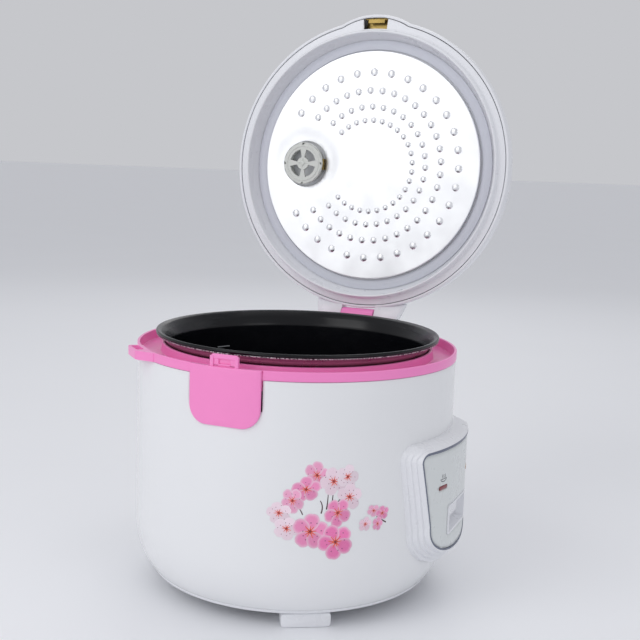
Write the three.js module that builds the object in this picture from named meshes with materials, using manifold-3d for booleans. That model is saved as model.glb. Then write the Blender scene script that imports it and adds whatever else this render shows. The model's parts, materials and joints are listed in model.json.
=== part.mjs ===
// Electric rice cooker with a hinged lid, drawn open, in millimetres with +Z up.
// The latch faces -Y, the lid hinge is at +Y and the control panel faces +X.
// It is drawn about the axis of the round body, with the feet at z = 0, and the finished group is
// then moved so that the origin is the bottom centre of its bounding box.
import * as THREE from 'three';
import { mergeVertices } from 'three/addons/utils/BufferGeometryUtils.js';
import Module from 'manifold-3d';

const wasm = await Module();
wasm.setup();

// ---- Driving dimensions -------------------------------------------------------------------------
const SEGMENTS = 36; // facets round the large turned pieces
const FINE_SEGMENTS = 24; // facets round the small ones
const GAP = 0.3; // air between two pieces that touch

const SHELL_R = 137; // outside radius of the painted body
const SHELL_T = 1.2;
const SHELL_TOP = 201;
const SEAM_Z = 16.4; // the body's lower edge, on the base cover
const CORNER_Z = 60; // where the straight wall starts to round in
const CORNER_RX = 30.1; // half axes of the rounded lower edge
const CORNER_RZ = 52;

const BAND_R = 137.4; // pink ring on top of the body
const BAND_TOP = 208.6;
const TROUGH_R = 134.8; // drip trough between the band and the collar
const TROUGH_Z = 200.5;
const COLLAR_R = 116.6;
const COLLAR_BORE = 114.4;
const COLLAR_TOP = 208.2;

const BASE_Z = 12.4; // underside of the base cover
const FOOT_R = 118.8;
const FOOT_W = 40;
const FOOT_DEPTH = 24;
const FOOT_TURNS = [30, 150, 270]; // degrees from -Y towards +X

const POT_TOP = 218.9;
const POT_RIM_R = 122;
const POT_WALL_R = 112.6;
const POT_FLOOR = 58.3;
const POT_T = 1.7;

const HINGE_Y = 150.5;
const HINGE_Z = 211.5;
const HINGE_R = 9.5;
const BARREL_HALF = 16.7; // half length of the body's hinge barrel
const ARM_IN = 17.6; // the lid's two hinge arms
const ARM_OUT = 42;
const OPEN_DEG = 93.15;

const LID_R = 141.3; // widest point of the lid
const LID_EDGE_Z = 209.8; // lower edge of the closed lid
const LID_TOP = 262;
const LID_T = 2.4;
const PLATE_R = 112.1; // aluminium inner lid
const PLATE_Z = 216;
const VALVE_X = -68.8;
const VALVE_HOLE_R = 23.5;
const VALVE_R = 21;
const NOSE_R = 69.9; // the lid's bump over the latch, seen from above
const NOSE_Y = -76.4;
const NOSE_T = 1.6;

const FLAP_HALF = 30.4; // latch lever
const FLAP_BOTTOM = 163;
const FLAP_CORNER = 15;
const FLAP_R = 139.2;
const FLAP_T = 1.8;
const LATCH_Y = -129.5; // the latch lever's pivot
const LATCH_Z = 171;
const TAB_FRONT = -137.5;
const TAB_BACK = -134.9;
const TAB_TOP = 218;

const DRUM_R = 116.2; // heat shield round the pot
const DRUM_FLOOR = 34;
const DRUM_TOP = 191.9;

const PANEL_R = 150.6; // control panel
const KEY_Z = 83;
const KEY_TRAVEL = 6;
const KEY_FRONT = 146;
const LAMP_Y = 34.8;
const LAMP_Z = 109;
const WELL_HALF = 24.4; // recess that the cook key runs in
const WELL_LOW = 66.2;
const WELL_HIGH = 91;
const BELL_X = 45; // pivot of the magnet lever
const BELL_Z = 25.5;

const INLET_Z = 74;

// ---- Materials ----------------------------------------------------------------------------------
const finish = (color, roughness, metalness = 0) =>
  new THREE.MeshStandardMaterial({ color, roughness, metalness });
const ENAMEL = finish('#e9eaec', 0.28);
const WHITE = finish('#e4e5ea', 0.38);
const PINK = finish('#f48cc8', 0.35);
const GREY = finish('#cfd3d3', 0.4);
const SLATE = finish('#6b7080', 0.35);
const RED = finish('#8a1028', 0.2);
const AMBER = finish('#c77a1e', 0.2);
const NONSTICK = finish('#15161a', 0.35);
const ALUMINIUM = finish('#dfe1e4', 0.3, 0.9);
const ZINC = finish('#a9acb0', 0.4, 0.9);
const STEEL = finish('#b9bcc0', 0.3, 0.9);
const BRASS = finish('#b8923e', 0.35, 0.9);
const SILICONE = finish('#e8eaee', 0.6);
const BLACK = finish('#1c1d1f', 0.5);
const MICA = finish('#b59a6a', 0.6);
const GLASS = finish('#e8c9a0', 0.1);

// ---- Making closed solids -----------------------------------------------------------------------
// A closed three.js geometry becomes a solid with its faces pointing out.
function solid(geometry) {
  geometry.deleteAttribute('normal');
  geometry.deleteAttribute('uv');
  const merged = mergeVertices(geometry, 1e-4);
  const p = merged.getAttribute('position').array;
  const tris = [];
  let volume = 0;
  for (let i = 0; i < merged.index.count; i += 3) {
    const [a, b, c] = [0, 1, 2].map((k) => merged.index.array[i + k]);
    if (a === b || b === c || c === a) continue;
    tris.push([a, b, c]);
    const [u, v, w] = [a, b, c].map((k) => new THREE.Vector3().fromArray(p, 3 * k));
    volume += u.dot(v.cross(w));
  }
  const outward = volume < 0 ? tris.map(([a, b, c]) => [a, c, b]) : tris;
  return new wasm.Manifold(new wasm.Mesh({
    numProp: 3,
    vertProperties: Float32Array.from(p),
    triVerts: Uint32Array.from(outward.flat()),
  }));
}

const join = (first, ...rest) => rest.reduce((sum, s) => sum.add(s), first);
const cut = (first, ...rest) => rest.reduce((left, s) => left.subtract(s), first);

// A profile of [radius, height] pairs turned about Z; it closes on itself or along the axis.
function turned(profile, segments = SEGMENTS) {
  const points = profile.map(([r, z]) => new THREE.Vector2(r, z));
  const closed = profile[0][0] === 0 && profile.at(-1)[0] === 0;
  if (!closed) points.push(points[0].clone());
  return solid(new THREE.LatheGeometry(points, segments).rotateX(Math.PI / 2));
}

function ring(inner, outer, low, high, segments = SEGMENTS) {
  return turned([[inner, low], [outer, low], [outer, high], [inner, high]], segments);
}

function disc(radius, low, high, segments = SEGMENTS) {
  return turned([[0, low], [radius, low], [radius, high], [0, high]], segments);
}

function box(x, y, z) {
  const size = [x, y, z].map(([low, high]) => high - low);
  const middle = [x, y, z].map(([low, high]) => (high + low) / 2);
  return solid(new THREE.BoxGeometry(...size).translate(...middle));
}

// A round bar along X, Y or Z, from low to high, about the point given in the other two axes.
function bar(axis, radius, low, high, [u, v], segments = FINE_SEGMENTS) {
  const rod = new THREE.CylinderGeometry(radius, radius, high - low, segments);
  const middle = (low + high) / 2;
  if (axis === 'x') return solid(rod.rotateZ(Math.PI / 2).translate(middle, u, v));
  if (axis === 'y') return solid(rod.translate(u, middle, v));
  return solid(rod.rotateX(Math.PI / 2).translate(u, v, middle));
}

// An outline drawn in X and Z, given thickness along Y; in Y and Z, along X; or in X and Y, along Z.
function slab(shape, axis, low, high) {
  const plate = new THREE.ExtrudeGeometry(shape, {
    depth: high - low,
    bevelEnabled: false,
    curveSegments: 4,
  });
  if (axis === 'y') return solid(plate.rotateX(Math.PI / 2).translate(0, high, 0));
  if (axis === 'z') return solid(plate.translate(0, 0, low));
  return solid(plate.rotateX(Math.PI / 2).rotateZ(Math.PI / 2).translate(low, 0, 0));
}

function roundedShape(left, right, low, high, lowCorner, highCorner = lowCorner) {
  const s = new THREE.Shape();
  s.moveTo(left + lowCorner, low);
  s.lineTo(right - lowCorner, low);
  s.absarc(right - lowCorner, low + lowCorner, lowCorner, -Math.PI / 2, 0);
  s.lineTo(right, high - highCorner);
  s.absarc(right - highCorner, high - highCorner, highCorner, 0, Math.PI / 2);
  s.lineTo(left + highCorner, high);
  s.absarc(left + highCorner, high - highCorner, highCorner, Math.PI / 2, Math.PI);
  s.lineTo(left, low + lowCorner);
  s.absarc(left + lowCorner, low + lowCorner, lowCorner, Math.PI, 1.5 * Math.PI);
  return s;
}

function polygon(points) {
  return new THREE.Shape(points.map(([x, y]) => new THREE.Vector2(x, y)));
}

// A wire of round section along a curve.
function wire(curve, radius, steps, sides = 6) {
  const section = new THREE.Shape();
  for (let i = 0; i < sides; i += 1) {
    const a = (2 * Math.PI * i) / sides;
    section[i ? 'lineTo' : 'moveTo'](radius * Math.cos(a), radius * Math.sin(a));
  }
  return solid(new THREE.ExtrudeGeometry(section, { steps, extrudePath: curve }));
}

// A coil spring wound about an axis that starts at origin and runs along direction.
function coil(origin, direction, length, radius, wireRadius, turns) {
  const along = new THREE.Vector3(...direction);
  const side = new THREE.Vector3(direction[1], direction[2], direction[0]);
  const other = new THREE.Vector3().crossVectors(along, side);
  const start = new THREE.Vector3(...origin);
  const points = [];
  const steps = Math.round(turns * 8);
  for (let i = 0; i <= steps; i += 1) {
    const angle = (2 * Math.PI * turns * i) / steps;
    const rise = wireRadius + ((length - 2 * wireRadius) * i) / steps;
    points.push(start.clone()
      .addScaledVector(along, rise)
      .addScaledVector(side, radius * Math.cos(angle))
      .addScaledVector(other, radius * Math.sin(angle)));
  }
  return wire(new THREE.CatmullRomCurve3(points), wireRadius, steps, 5);
}

// Points of an ellipse's arc, angles in degrees.
function arc(cr, cz, rr, rz, from, to, steps) {
  return Array.from({ length: steps + 1 }, (_, i) => {
    const a = THREE.MathUtils.degToRad(from + ((to - from) * i) / steps);
    return [cr + rr * Math.cos(a), cz + rz * Math.sin(a)];
  });
}

// Turns a solid drawn facing -Y to the given number of degrees towards +X.
const facing = (s, degrees) => s.rotate([0, 0, degrees]);

const group = new THREE.Group();
const base = new THREE.Group();
const lid = new THREE.Group();
group.add(base, lid);

function add(name, body, material, parent = base) {
  const { vertProperties, triVerts } = body.getMesh();
  const geometry = new THREE.BufferGeometry();
  geometry.setAttribute('position', new THREE.BufferAttribute(vertProperties, 3));
  geometry.setIndex(new THREE.BufferAttribute(triVerts, 1));
  const mesh = new THREE.Mesh(geometry, material);
  mesh.name = name;
  parent.add(mesh);
}

// ---- Body: steel shell, base cover and feet -----------------------------------------------------
const seamAngle = (r) => -THREE.MathUtils.radToDeg(Math.asin((CORNER_Z - SEAM_Z) / r));

function flapOutline(grow) {
  return roundedShape(-FLAP_HALF - grow, FLAP_HALF + grow, FLAP_BOTTOM - grow, 240, FLAP_CORNER, 1);
}

function outerShell() {
  const cr = SHELL_R - CORNER_RX;
  const [ri, zi] = [CORNER_RX - SHELL_T, CORNER_RZ - SHELL_T];
  const body = turned([
    ...arc(cr, CORNER_Z, CORNER_RX, CORNER_RZ, seamAngle(CORNER_RZ), 0, 6),
    [SHELL_R, SHELL_TOP],
    [SHELL_R - SHELL_T, SHELL_TOP],
    ...arc(cr, CORNER_Z, ri, zi, 0, seamAngle(zi), 6),
  ]);
  const latchOpening = slab(flapOutline(0.6), 'y', -145, -120);
  const panelOpening = box([100, 145], [-28, 28], [64, 120]);
  const inletOpening = box([-145, -120], [-16, 16], [INLET_Z - 12.5, INLET_Z + 12.5]);
  return cut(body, latchOpening, panelOpening, inletOpening);
}

function baseCover() {
  let pan = turned([
    [0, BASE_Z],
    [119.5, BASE_Z],
    [121.7, BASE_Z + 0.9],
    [122.9, SEAM_Z - GAP],
    [119.6, SEAM_Z - GAP],
    [119.6, 17.8],
    [117.6, 17.8],
    [117.6, BASE_Z + 2],
    [0, BASE_Z + 2],
  ]);
  const slot = box([-2.2, 2.2], [38, 74], [5, 25]);
  for (let turn = 15; turn < 360; turn += 30) pan = cut(pan, facing(slot, turn));
  return pan;
}

function foot() {
  const outline = roundedShape(-FOOT_W / 2, FOOT_W / 2, 0, BASE_Z - GAP, 3, 0.5);
  return slab(outline, 'y', -FOOT_R, FOOT_DEPTH - FOOT_R);
}

add('outer_shell', outerShell(), ENAMEL);
add('base_cover', baseCover(), WHITE);
FOOT_TURNS.forEach((turn, i) => add(`foot_${i + 1}`, facing(foot(), turn), WHITE));

// ---- Pink ring: band, trough, collar, paddle loop, hinge barrel and latch pocket ----------------
function paddleLoop() {
  const outline = polygon([
    [-10.5, -135.5], [-13.3, -144.5], [-11.5, -146.3], [12.5, -146.3], [15.2, -144.8], [26.4, -135.5],
  ]);
  const eye = roundedShape(-9.5, 9.5, -144.3, -138.1, 1.5);
  return facing(cut(
    slab(outline, 'z', SHELL_TOP + GAP, BAND_TOP),
    slab(eye, 'z', TROUGH_Z - 5, BAND_TOP + 5),
  ), -44);
}

function latchPocket() {
  let pocket = join(
    box([-30, 30], [-126, -124.4], [161, 199.2]),
    box([-30.2, 30.2], [-131.5, -124.4], [161, 162.6]),
  );
  for (const side of [-1, 1]) {
    const [cheekFrom, cheekTo] = [28.6 * side, 30.2 * side].sort((a, b) => a - b);
    const [lugFrom, lugTo] = [21 * side, 24 * side].sort((a, b) => a - b);
    pocket = join(
      pocket,
      box([cheekFrom, cheekTo], [-131, -124.4], [161, 199.2]),
      box([lugFrom, lugTo], [-132.4, -124.8], [LATCH_Z - 3.4, LATCH_Z + 3.4]),
    );
  }
  return cut(pocket, bar('x', 1.8, -26, 26, [LATCH_Y, LATCH_Z], 16));
}

function hingeBarrel() {
  const block = box([-BARREL_HALF, BARREL_HALF], [135.8, 149], [SHELL_TOP + GAP, BAND_TOP + 0.7]);
  const barrel = bar('x', HINGE_R, -BARREL_HALF, BARREL_HALF, [HINGE_Y, HINGE_Z]);
  const springRoom = join(
    bar('x', 6, -9, 9, [HINGE_Y, HINGE_Z], 20),
    box([-9, 9], [HINGE_Y - 5, HINGE_Y + 5], [HINGE_Z - 12, HINGE_Z]),
  );
  const bore = bar('x', 2.3, -20, 20, [HINGE_Y, HINGE_Z], 16);
  return cut(join(block, barrel), springRoom, bore);
}

function upperRing() {
  const body = turned([
    [BAND_R, 201.3], [BAND_R, BAND_TOP - 0.8], [BAND_R - 0.7, BAND_TOP],
    [BAND_R - 1.9, BAND_TOP], [TROUGH_R + 0.2, BAND_TOP - 0.8],
    [TROUGH_R, TROUGH_Z], [COLLAR_R + 0.6, TROUGH_Z],
    [COLLAR_R, COLLAR_TOP - 0.7], [COLLAR_R - 0.7, COLLAR_TOP], [COLLAR_BORE + 0.5, COLLAR_TOP],
    [COLLAR_BORE, COLLAR_TOP - 0.7], [COLLAR_BORE, 192.3], [116.2, 192.3],
    [116.2, 198.9], [133.3, 198.9], [133.3, 192.3], [135.3, 192.3], [135.3, 201.3],
  ]);
  const flapRoom = cut(
    box([-FLAP_HALF - 0.5, FLAP_HALF + 0.5], [-150, -120], [190, 215]),
    disc(134.4, 180, 220),
  );
  const tabRoom = box([-13.2, 13.2], [-150, -131.6], [190, 215]);
  return join(cut(body, flapRoom, tabRoom), paddleLoop(), latchPocket(), hingeBarrel());
}

add('upper_ring', upperRing(), PINK);
add('hinge_pin', bar('x', 2, -ARM_OUT + 1, ARM_OUT - 1, [HINGE_Y, HINGE_Z], 16), STEEL);
add('hinge_spring', coil([-8, HINGE_Y, HINGE_Z], [1, 0, 0], 16, 4.2, 0.7, 6), STEEL);

// ---- Latch lever: outer flap, upright hook tab and hub, on one pin ------------------------------
function latchLever() {
  const skin = ring(FLAP_R - FLAP_T, FLAP_R, FLAP_BOTTOM - 5, BAND_TOP);
  const flap = slab(flapOutline(0), 'y', -145, -120).intersect(skin);
  const tabShape = polygon([
    [-12, 176], [12, 176], [12, 210], [9.8, TAB_TOP], [-9.8, TAB_TOP], [-12, 210],
  ]);
  const catchSlot = box([-5, 5], [TAB_FRONT - 1, TAB_FRONT + 1.5], [210, 214.5]);
  const tab = cut(slab(tabShape, 'y', TAB_FRONT, TAB_BACK), catchSlot);
  const web = box([-19, 19], [-137.7, LATCH_Y], [LATCH_Z - 2, LATCH_Z + 2]);
  const hub = bar('x', 3, -19, 19, [LATCH_Y, LATCH_Z], 16);
  return cut(join(flap, tab, web, hub), bar('x', 1.8, -20, 20, [LATCH_Y, LATCH_Z], 16));
}

add('latch_lever', latchLever(), PINK);
add('latch_pin', bar('x', 1.5, -26, 26, [LATCH_Y, LATCH_Z], 12), STEEL);
add('latch_spring', coil([0, -126.3, 190], [0, -1, 0], 8.2, 2.6, 0.4, 4), STEEL);

// ---- Inner pot ----------------------------------------------------------------------------------
function innerPot() {
  const corner = 24;
  const outerCorner = arc(POT_WALL_R - corner, POT_FLOOR + corner, corner, corner, -90, 0, 3);
  const inner = corner - POT_T;
  const innerCorner = arc(POT_WALL_R - corner, POT_FLOOR + corner, inner, inner, 0, -90, 3);
  return turned([
    [0, POT_FLOOR],
    ...outerCorner,
    [POT_WALL_R, 206.5], [115.4, 212.2], [118.2, 215.4], [POT_RIM_R - 0.6, 215.6], [POT_RIM_R, 217.2],
    [POT_RIM_R - 1, POT_TOP], [118.6, POT_TOP - 0.6], [116.4, POT_TOP - 2.2], [113.6, 212.4],
    [POT_WALL_R - POT_T, 206.6],
    ...innerCorner,
    [0, POT_FLOOR + POT_T],
  ]);
}

add('inner_pot', innerPot(), NONSTICK);

// ---- Heat shield, heating plate and thermostat under the pot ------------------------------------
const drum = turned([
  [28, DRUM_FLOOR], [DRUM_R, DRUM_FLOOR], [DRUM_R, DRUM_TOP], [DRUM_R - 1, DRUM_TOP],
  [DRUM_R - 1, DRUM_FLOOR + 1.2], [28, DRUM_FLOOR + 1.2],
]);
add('heat_shield_drum', drum, ZINC);

const plateTop = POT_FLOOR - GAP;
const heatingPlate = turned([
  [18.2, 48], [92, 48], [92, plateTop - 1.2], [90.4, plateTop], [18.2, plateTop],
], 36);
add('heating_plate', heatingPlate, ALUMINIUM);

const elementAngles = Array.from({ length: 33 }, (_, i) => THREE.MathUtils.degToRad(20 + 10 * i));
const elementPath = new THREE.CatmullRomCurve3(
  elementAngles.map((a) => new THREE.Vector3(68 * Math.sin(a), -68 * Math.cos(a), 44.2)),
);
add('heater_element', wire(elementPath, 3.2, 30, 7), STEEL);

const standLegs = [90, 210, 330].map((turn) => facing(bar('z', 4, 36, 47.7, [0, -82], 12), turn));
add('plate_stand', join(ring(77, 87, DRUM_FLOOR + 1.5, DRUM_FLOOR + 3, 36), ...standLegs), ZINC);

add('sensor_holder', ring(3, 31, DRUM_FLOOR + 1.5, DRUM_FLOOR + 2.5, 24), ZINC);
add('sensor_spring', coil([0, 0, 37], [0, 0, 1], 19, 14.2, 0.5, 4), STEEL);
add('thermostat_cup', turned([
  [0, 46.9], [12.3, 46.9], [12.3, 56.6], [16, 56.6], [16, 50], [17, 50],
  [17, plateTop - 0.8], [16.4, plateTop], [0, plateTop],
], FINE_SEGMENTS), ALUMINIUM);
add('magnet_rod', turned([
  [0, 27.6], [4, 27.6], [4, 29], [2, 29], [2, 37.4], [9, 37.4], [9, 41.4], [0, 41.4],
], 20), BLACK);

// ---- Cook key, magnet lever and the switch they work --------------------------------------------
function cookKey() {
  const knob = slab(roundedShape(-12, 12, KEY_Z - 6.2, KEY_Z + 6.6, 2), 'x', 142.6, KEY_FRONT);
  const stem = box([120, 143], [-3, 3], [KEY_Z - 2, KEY_Z + 2]);
  const heel = box([119, 127], [-4, 4], [KEY_Z - 7, KEY_Z + 2]);
  return join(knob, stem, heel);
}

function magnetLever() {
  const top = KEY_Z - 7.5;
  const arm = polygon([
    [-3, 24.4], [121, 24.4], [121, top], [118, top], [118, 27], [-3, 27],
  ]);
  const body = join(
    slab(arm, 'y', -3, 3),
    bar('y', 3.4, -3, 3, [BELL_X, BELL_Z], 16),
  );
  return cut(body, bar('y', 1.8, -5, 5, [BELL_X, BELL_Z], 16));
}

function leverBracket() {
  let bracket = box([BELL_X - 6, BELL_X + 6], [-7, 7], [DRUM_FLOOR - 1.9, DRUM_FLOOR - GAP]);
  for (const y of [[-7, -5], [5, 7]]) {
    bracket = join(bracket, box([BELL_X - 4, BELL_X + 4], y, [22, DRUM_FLOOR - 1]));
  }
  return cut(bracket, bar('y', 1.8, -9, 9, [BELL_X, BELL_Z], 16));
}

add('cook_key', cookKey(), WHITE);
add('magnet_lever', magnetLever(), ZINC);
add('lever_bracket', leverBracket(), ZINC);
add('lever_pin', bar('y', 1.5, -9, 9, [BELL_X, BELL_Z], 12), STEEL);
add('microswitch', join(
  box([84, 104], [8, 14.5], [22, 32]),
  box([92, 95], [6.4, 9], [29, 31]),
), BLACK);

// ---- Control panel ------------------------------------------------------------------------------
// An outline with straight tapering sides, tight upper corners and a rounded bottom.
// The bottom curve is the superellipse |y / half|^n + |drop / height|^n = 1.
function panelOutline({ top, bottom, shoulder, topHalf, shoulderHalf, corner }) {
  const power = 2.4;
  const right = [];
  for (let i = 1; i <= 7; i += 1) {
    const a = (Math.PI / 2) * (i / 7);
    right.push([
      shoulderHalf * Math.sin(a) ** (2 / power),
      shoulder - (shoulder - bottom) * Math.cos(a) ** (2 / power),
    ]);
  }
  const chamfer = 0.3 * corner;
  const upper = [
    [topHalf, top - corner],
    [topHalf - chamfer, top - chamfer],
    [topHalf - corner, top],
  ];
  const half = [...right, ...upper];
  return polygon([[0, bottom], ...half, ...half.toReversed().map(([y, z]) => [-y, z])]);
}

const FACE = { top: 140, bottom: 53, shoulder: 80, topHalf: 62.2, shoulderHalf: 50.1, corner: 6 };
const BORDER = { top: 146.5, bottom: 39.5, shoulder: 76, topHalf: 67.2, shoulderHalf: 58, corner: 12 };

function between(a, b, t, grow = 0) {
  const mixed = Object.fromEntries(Object.keys(a).map((k) => [k, a[k] + (b[k] - a[k]) * t]));
  return {
    ...mixed,
    top: mixed.top + grow,
    bottom: mixed.bottom - grow,
    topHalf: mixed.topHalf + grow,
    shoulderHalf: mixed.shoulderHalf + grow,
  };
}

const panelSlab = (outline) => slab(panelOutline(outline), 'x', 100, 160);
function lampSlab(side, grow) {
  const middle = side * LAMP_Y;
  const [halfWidth, halfHeight] = [6.5 + grow, 1.7 + grow];
  const shape = roundedShape(
    middle - halfWidth,
    middle + halfWidth,
    LAMP_Z - halfHeight,
    LAMP_Z + halfHeight,
    1.6,
  );
  return slab(shape, 'x', 100, 160);
}
const wellHole = (grow) => box(
  [100, 160],
  [-WELL_HALF - grow, WELL_HALF + grow],
  [WELL_LOW - grow, WELL_HIGH + grow],
);

function panelHousing() {
  const steps = [140.4, 143.6, 146.8, PANEL_R];
  const layers = steps.map((r, i) => {
    const outline = between(BORDER, FACE, i / 3.6);
    return panelSlab(outline).intersect(disc(r, 20, 170));
  });
  const body = cut(join(...layers), disc(BAND_R, 10, 180));
  const room = panelSlab(between(FACE, FACE, 0, -3)).intersect(disc(146.8, 20, 170));
  const pocket = cut(panelSlab(between(FACE, FACE, 0, 1.5)), disc(148.4, 10, 180));
  return cut(body, room, pocket, wellHole(0.3), lampSlab(1, 0.3), lampSlab(-1, 0.3));
}

function panelTrim() {
  const band = cut(panelSlab(between(FACE, FACE, 0, 1.2)), panelSlab(FACE));
  return band.intersect(ring(148.7, PANEL_R + 0.3, 20, 170));
}

function panelFace() {
  const sheet = panelSlab(between(FACE, FACE, 0, -GAP)).intersect(ring(148.7, 150.2, 20, 170));
  return cut(sheet, wellHole(0.3), lampSlab(1, 0.3), lampSlab(-1, 0.3));
}

function switchWell() {
  const tray = cut(
    box([140.4, 150.9], [-WELL_HALF, WELL_HALF], [WELL_LOW, WELL_HIGH]),
    box([141.6, 155], [-WELL_HALF + 1.2, WELL_HALF - 1.2], [WELL_LOW + 1.2, WELL_HIGH - 1.2]),
  );
  return cut(tray, box([138, 143], [-3.4, 3.4], [KEY_Z - 2.4 - KEY_TRAVEL, KEY_Z + 2.4]));
}

add('panel_housing', panelHousing(), WHITE);
add('panel_trim', panelTrim(), SLATE);
add('panel_face', panelFace(), GREY);
add('switch_well', switchWell(), WHITE);
add('lamp_lens_cook', lampSlab(-1, 0).intersect(ring(147.2, PANEL_R, 20, 170)), RED);
add('lamp_lens_warm', lampSlab(1, 0).intersect(ring(147.2, PANEL_R, 20, 170)), AMBER);
for (const [name, y] of [['neon_lamp_cook', -LAMP_Y], ['neon_lamp_warm', LAMP_Y]]) {
  add(name, bar('y', 2.2, y - 6, y + 6, [138.6, LAMP_Z], 12), GLASS);
}

// ---- Power inlet, opposite the panel, and the fixed electrical pieces ---------------------------
const plugRoom = box([-160, -121], [-12, 12], [INLET_Z - 8.5, INLET_Z + 8.5]);
const inletBody = cut(
  join(
    box([-139.4, -137.4], [-21, 21], [INLET_Z - 15, INLET_Z + 15]),
    box([-138, -119], [-15.5, 15.5], [INLET_Z - 12, INLET_Z + 12]),
  ),
  plugRoom,
);
add('power_inlet', inletBody, BLACK);

for (const [name, y, dz] of [['live', -7, -2.5], ['neutral', 7, -2.5], ['earth', 0, 3.5]]) {
  add(`inlet_pin_${name}`, bar('x', 1.9, -133, -121.3, [y, INLET_Z + dz], 12), BRASS);
}

add('terminal_block', box([-108, -88], [8, 34], [19, 31]), BLACK);
add('thermal_fuse', bar('x', 2.4, -40, -24, [48, 30.8], 12), BRASS);
const warmBand = ring(DRUM_R + 0.4, DRUM_R + 1.8, 96, 126, SEGMENTS)
  .intersect(box([-84, 84], [40, 130], [90, 130]));
add('keep_warm_band', warmBand, MICA);

// Leads from the inlet to the terminal block and on to the switch.
const leadRoutes = {
  live: [[-117.6, -7, 70], [-117.9, -7, 52], [-118.2, -2, 34], [-115.5, 8, 27], [-109.6, 15, 26]],
  neutral: [[-117.4, 7, 70], [-118, 8.6, 52], [-118.6, 14, 36], [-114, 22, 27], [-109.6, 27, 26]],
  switch: [[-86.4, 20, 25], [-70, 18, 24], [-30, 14, 23], [20, 16, 23], [60, 14, 24], [83.6, 11, 25]],
};
for (const [name, route] of Object.entries(leadRoutes)) {
  const path = new THREE.CatmullRomCurve3(route.map((p) => new THREE.Vector3(...p)));
  add(`lead_${name}`, wire(path, 1.1, 14), BLACK);
}

const baseScrew = bar('z', 3.2, 10.6, BASE_Z - GAP, [0, -96], 10);
[90, 210, 330].forEach((turn, i) => add(`base_screw_${i + 1}`, facing(baseScrew, turn), STEEL));

// ---- Lid, drawn closed and then opened about the hinge axis -------------------------------------
function lidCover() {
  const shoulderZ = 222;
  const dome = (t) => [
    [LID_R - 0.9 - t, LID_EDGE_Z],
    [LID_R - t, LID_EDGE_Z + 3],
    ...arc(107, shoulderZ, LID_R - 107 - t, 29 - t, 0, 75, 5),
    [84, 254.6 - t],
    [45, 260.4 - t],
    [0, LID_TOP - t],
  ];
  const noseOuter = bar('z', NOSE_R, LID_EDGE_Z, 225, [0, NOSE_Y], 36);
  const noseInner = bar('z', NOSE_R - NOSE_T, LID_EDGE_Z - 5, 222.6, [0, NOSE_Y], 36);
  const outer = turned([[0, LID_EDGE_Z], ...dome(0)]);
  const inner = turned([[0, LID_EDGE_Z - 2], [LID_R - 0.9 - LID_T, LID_EDGE_Z - 2], ...dome(LID_T)]);
  const ventBoss = bar('z', 26, 245, 260.6, [VALVE_X, 0], FINE_SEGMENTS);
  const hollow = join(inner, noseInner);
  const skin = cut(join(outer, noseOuter), hollow);
  const armOutline = new THREE.Shape();
  armOutline.moveTo(134.5, 214);
  armOutline.lineTo(139, LID_EDGE_Z);
  armOutline.lineTo(HINGE_Y, HINGE_Z - 9);
  armOutline.absarc(HINGE_Y, HINGE_Z, 9, -Math.PI / 2, Math.PI / 2);
  armOutline.lineTo(134.5, HINGE_Z + 14);
  let cover = join(skin, cut(ventBoss, hollow));
  for (const side of [-1, 1]) {
    const [from, to] = [ARM_IN * side, ARM_OUT * side].sort((a, b) => a - b);
    cover = join(cover, cut(slab(armOutline, 'x', from, to), inner));
  }
  return cut(
    cover,
    bar('x', HINGE_R + 0.6, -ARM_IN, ARM_IN, [HINGE_Y, HINGE_Z]),
    bar('x', 2.3, -60, 60, [HINGE_Y, HINGE_Z], 16),
    bar('z', 19.2, 220, 270, [VALVE_X, 0], FINE_SEGMENTS),
  );
}

const noseWindow = box([-12.35, 12.35], [-142.5, -132.2], [200, 216]);

function lidLiner() {
  const body = turned([
    [0, 221.4], [123.6, 221.4], [125.2, 219.8], [126.8, 212], [128.2, 204.8],
    [130.4, 205], [131.6, 210.4], [137.5, 210.6], [137.5, 212.6],
    [129, 212.6], [127.2, 221], [124.4, 223.4], [0, 223.4],
  ]);
  const noseFloor = bar('z', NOSE_R - NOSE_T - GAP, 210.6, 212.6, [0, NOSE_Y], 36);
  const tongue = cut(noseFloor, disc(133, 200, 230));
  return cut(
    join(body, tongue.intersect(box([-60, 60], [-150, -125], [200, 220]))),
    noseWindow,
    bar('z', 19.2, 200, 240, [VALVE_X, 0], FINE_SEGMENTS),
  );
}

function lidPlate() {
  const pan = turned([
    [0, PLATE_Z], [PLATE_R - 1.2, PLATE_Z], [PLATE_R, PLATE_Z + 1.2], [PLATE_R, 220.9],
    [PLATE_R - 1, 220.9], [PLATE_R - 1, PLATE_Z + 1.6], [PLATE_R - 1.6, PLATE_Z + 1], [0, PLATE_Z + 1],
  ]);
  return cut(pan, bar('z', VALVE_HOLE_R, 200, 225, [VALVE_X, 0], FINE_SEGMENTS));
}

function valveDisc() {
  const skirt = ring(15.4, 18.4, 211, 220.8, FINE_SEGMENTS);
  let plate = join(disc(VALVE_R, 208.8, 211.2, FINE_SEGMENTS), skirt, disc(2, 207.9, 210, 10));
  const sector = new THREE.Shape();
  sector.absarc(0, 0, 14.2, -0.56, 0.56);
  sector.absarc(0, 0, 6.2, 0.56, -0.56, true);
  const opening = slab(sector, 'z', 200, 215);
  for (let turn = 45; turn < 360; turn += 90) plate = cut(plate, facing(opening, turn));
  return plate.translate([VALVE_X, 0, 0]);
}

function steamCap() {
  let cap = join(
    ring(16.6, 18.8, 246, 262, FINE_SEGMENTS),
    turned([[0, 261], [25, 261], [25, 263], [23, 265.4], [0, 266]], FINE_SEGMENTS),
  );
  const slot = box([-1.6, 1.6], [5, 14.5], [255, 270]);
  for (let turn = 0; turn < 360; turn += 60) cap = cut(cap, facing(slot, turn));
  return cap.translate([VALVE_X, 0, 0]);
}

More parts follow.
